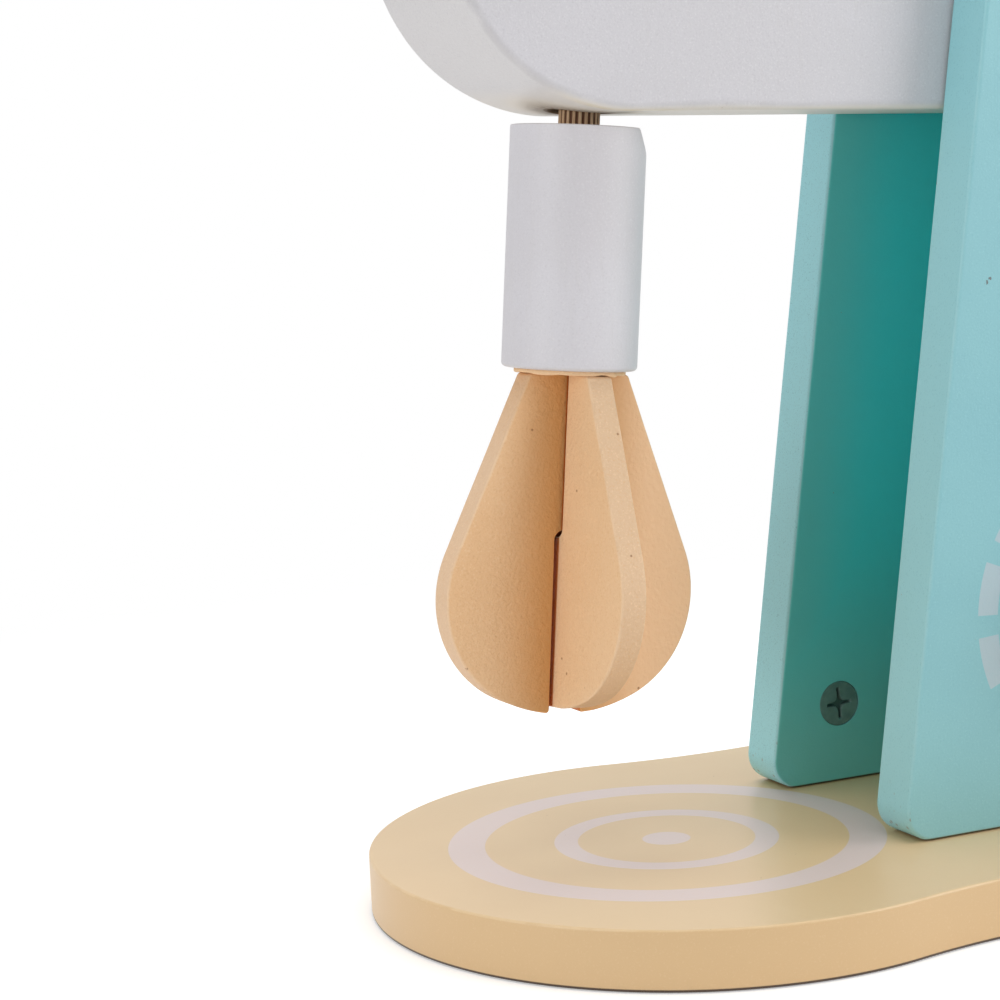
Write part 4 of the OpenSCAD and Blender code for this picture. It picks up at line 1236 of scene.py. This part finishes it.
bend = quarterTurn(8)
front = knobSize["back"] + knobSize["thick"] - knobSize["fall"]
soft = knobSize["soft"]
faceRadius = knobSize["radius"] - knobSize["draft"] - soft
wall = [(faceRadius + soft * math.sin(b), front - soft * (1 - math.cos(b))) for b in bend]
wall += [(knobSize["radius"] - inset, knobSize["back"] + rise) for inset, rise in knobSize["backRows"]]
shell = newShell()
addTurned(shell, knobSize["count"], faceRadius, knobFace, wall, placeTurned(knobAt, -1),
          np.concatenate([np.sin(2 * bend), knobSize["backWear"]]))
makePiece("speedKnob", shell, whiteLacquer, "knob", "white_lacquer", "speed_knob")
print("knob made")

# Cam locks: flush cast discs with a cross recess whose upright wing is the longer
camSize = {"radius": 6.0, "face": 5.75, "long": 10.0, "reach": 4.2, "level": 0.85, "deep": 1.3, "wing": 0.36,
           "heart": 0.75, "turned": 4.0, "sunk": 0.12, "count": 65, "rimRows": [(0.07, 0.08), (0.0, 0.3)],
           "wear": [0.5, 0.2, 0]}


def camFace(x, y):
    return -camSize["sunk"] - crossRecess(x, y, camSize)


camWall = [(camSize["radius"] - inset, -camSize["sunk"] - drop) for inset, drop in camSize["rimRows"]]
camWall.append((camSize["radius"], -camSize["long"]))
shell = newShell()
for side in (-1, 1):
    for camX, camHigh in cheekSize["cams"]:
        place = placeTurned((columnX + camX, side * cheekSize["inner"], baseTop + camHigh), -side)
        addTurned(shell, camSize["count"], camSize["face"], camFace, camWall, place, camSize["wear"], camSize)
makePiece("camLocks", shell, castZinc, "stand", "dark_zinc", "cam_locks")
print("cam locks made")

# Pivot heads: low domes with a cross recess, on the sleeve at the near side and on the bolt at the far side
pivotSize = {"radius": 8.5, "edge": 8.15, "thick": 2.0, "dome": 0.9, "sleeve": 4.0, "bolt": 3.0, "face": 39.5,
             "reach": 4.2, "level": 1.0, "deep": 1.1, "wing": 0.45, "heart": 1.1, "turned": 31.0, "count": 65,
             "rimRows": [(0.1, 0.95), (0.0, 0.7), (0.0, 0.0)], "wear": [0.6, 0.3, 0, 0, 0],
             "sleeveLong": 77.0, "boltLong": 49.0}


def pivotFace(x, y):
    dome = pivotSize["dome"] * (np.hypot(x, y) / pivotSize["radius"]) ** 2
    return pivotSize["thick"] - dome - crossRecess(x, y, pivotSize)


pivotPlan = [("pivotSleeve", -1, pivotSize["sleeve"], pivotSize["sleeveLong"], "pivot_sleeve"),
             ("pivotBolt", 1, pivotSize["bolt"], pivotSize["boltLong"], "pivot_bolt")]
headWall = [(pivotSize["radius"] - inset, level) for inset, level in pivotSize["rimRows"]]
for name, side, core, deep, node in pivotPlan:
    shell = newShell()
    wall = [*headWall, (core, 0.0), (core, -deep)]
    place = placeTurned((columnX, side * pivotSize["face"], pivotZ), side)
    addTurned(shell, pivotSize["count"], pivotSize["edge"], pivotFace, wall, place, pivotSize["wear"])
    makePiece(name, shell, platedSteel, "stand", "plated_steel", node)
print("pivot made")

# Floor: a wide pale disc that fades to the white of the backdrop away from the object
floorSize = {"radius": 6.0, "rings": 24, "count": 96, "below": 0.0002, "fade": (0.2, 0.5), "lift": 0.36,
             "grey": 0.9, "rough": 0.8, "gloss": 0.1}
around = roundAngles(floorSize["count"])
away = np.linspace(0, 1, floorSize["rings"])[1:, None] ** 2 * floorSize["radius"]
floorPoints = np.stack([away * np.cos(around), away * np.sin(around), 0 * away + 0 * around], axis=-1)
floorPoints -= [0, 0, floorSize["below"]]
floorIndex = np.arange(floorPoints.shape[0] * floorPoints.shape[1]).reshape(floorPoints.shape[:2])
floorNext = np.roll(floorIndex, -1, axis=1)
floorQuads = np.stack([floorIndex[:-1], floorIndex[1:], floorNext[1:], floorNext[:-1]], axis=-1)
floorMesh = bpy.data.meshes.new("floor")
floorFaces = [*floorQuads.reshape(-1, 4).tolist(), floorIndex[0].tolist()]
floorMesh.from_pydata(floorPoints.reshape(-1, 3).tolist(), [], floorFaces)
floor = bpy.data.objects.new("floor", floorMesh)
bpy.context.scene.collection.objects.link(floor)


# 1 for rays that see or mirror the backdrop, 0 for rays that gather light
def seenDirectly():
    ray = put("ShaderNodeLightPath").outputs
    mirrored = calc("MAXIMUM", ray["Is Glossy Ray"], ray["Is Transmission Ray"])
    return calc("MAXIMUM", ray["Is Camera Ray"], mirrored)


# Mixes two surfaces by a share, and makes the result what the tree puts out
def showMix(share, first, second, output):
    mixed = put("ShaderNodeMixShader", {0: share, 1: first.outputs[0], 2: second.outputs[0]})
    feed(paint["tree"].nodes[output], {"Surface": mixed.outputs[0]})


white = (1, 1, 1, 1)
floorFinish, shader = newFinish("paleFloor")
feed(shader, {"Base Color": (*[floorSize["grey"]] * 3, 1), "Roughness": floorSize["rough"],
              "Specular IOR Level": floorSize["gloss"], "Emission Color": white,
              "Emission Strength": times(seenDirectly(), floorSize["lift"])})
farOff = fade(vectorMath("LENGTH", objectSpot()), *floorSize["fade"])
backdrop = put("ShaderNodeEmission", {"Strength": 1.0})
showMix(times(seenDirectly(), farOff), shader, backdrop, "Material Output")
floorMesh.materials.append(floorFinish)

# World: soft even light for the object, plain white where it is seen or mirrored
worldLevel = 0.42
world = bpy.data.worlds.new("studio")
bpy.context.scene.world = world
soft = feed(openTree(world)["Background"], {"Color": white, "Strength": worldLevel})
showMix(seenDirectly(), soft, put("ShaderNodeBackground", {"Color": white, "Strength": 1.0}), "World Output")

# Lamps: place, size and power of each, all aimed at the middle of the object
lampTarget = Vector((-0.02, 0.0, 0.13))
lampPlan = {"topLamp": ((0.1, 0.1, 1.5), 1.6, 11.5), "frontLamp": ((1.0, -0.95, 0.5), 0.9, 6.6),
            "leftLamp": ((-1.3, -0.4, 0.3), 0.9, 5.5), "rightLamp": ((1.3, -0.4, 0.4), 0.9, 2.6)}
for name, (place, size, power) in lampPlan.items():
    lamp = bpy.data.lights.new(name, "AREA")
    lamp.shape = "DISK"
    lamp.size = size
    lamp.energy = power
    holder = bpy.data.objects.new(name, lamp)
    holder.location = place
    holder.rotation_euler = (lampTarget - Vector(place)).to_track_quat("-Z", "Y").to_euler()
    bpy.context.scene.collection.objects.link(holder)
print("light set")

# Camera at the photograph's angle: yaw from +Y towards +X, pitch down and a little roll
cameraPlan = {"place": (-0.356466, -0.573499, 0.190201), "yaw": 24.1, "pitch": 7.756, "roll": 2.709,
              "lens": 94.8065, "sensor": 36.0, "clip": (0.01, 50.0)}
yaw, pitch, roll = (math.radians(cameraPlan[key]) for key in ("yaw", "pitch", "roll"))
ahead = Vector((math.sin(yaw) * math.cos(pitch), math.cos(yaw) * math.cos(pitch), -math.sin(pitch)))
right = Vector((math.cos(yaw), -math.sin(yaw), 0))
down = ahead.cross(right)
turnedRight = math.cos(roll) * right + math.sin(roll) * down
turnedDown = -math.sin(roll) * right + math.cos(roll) * down
lens = bpy.data.cameras.new("camera")
lens.sensor_width = cameraPlan["sensor"]
lens.lens = cameraPlan["lens"]
lens.clip_start, lens.clip_end = cameraPlan["clip"]
camera = bpy.data.objects.new("camera", lens)
basis = Matrix((turnedRight, -turnedDown, -ahead)).transposed().to_4x4()
camera.matrix_world = Matrix.Translation(cameraPlan["place"]) @ basis
bpy.context.scene.collection.objects.link(camera)
bpy.context.scene.camera = camera
bpy.context.scene.view_settings.view_transform = "Standard"
print("camera set")
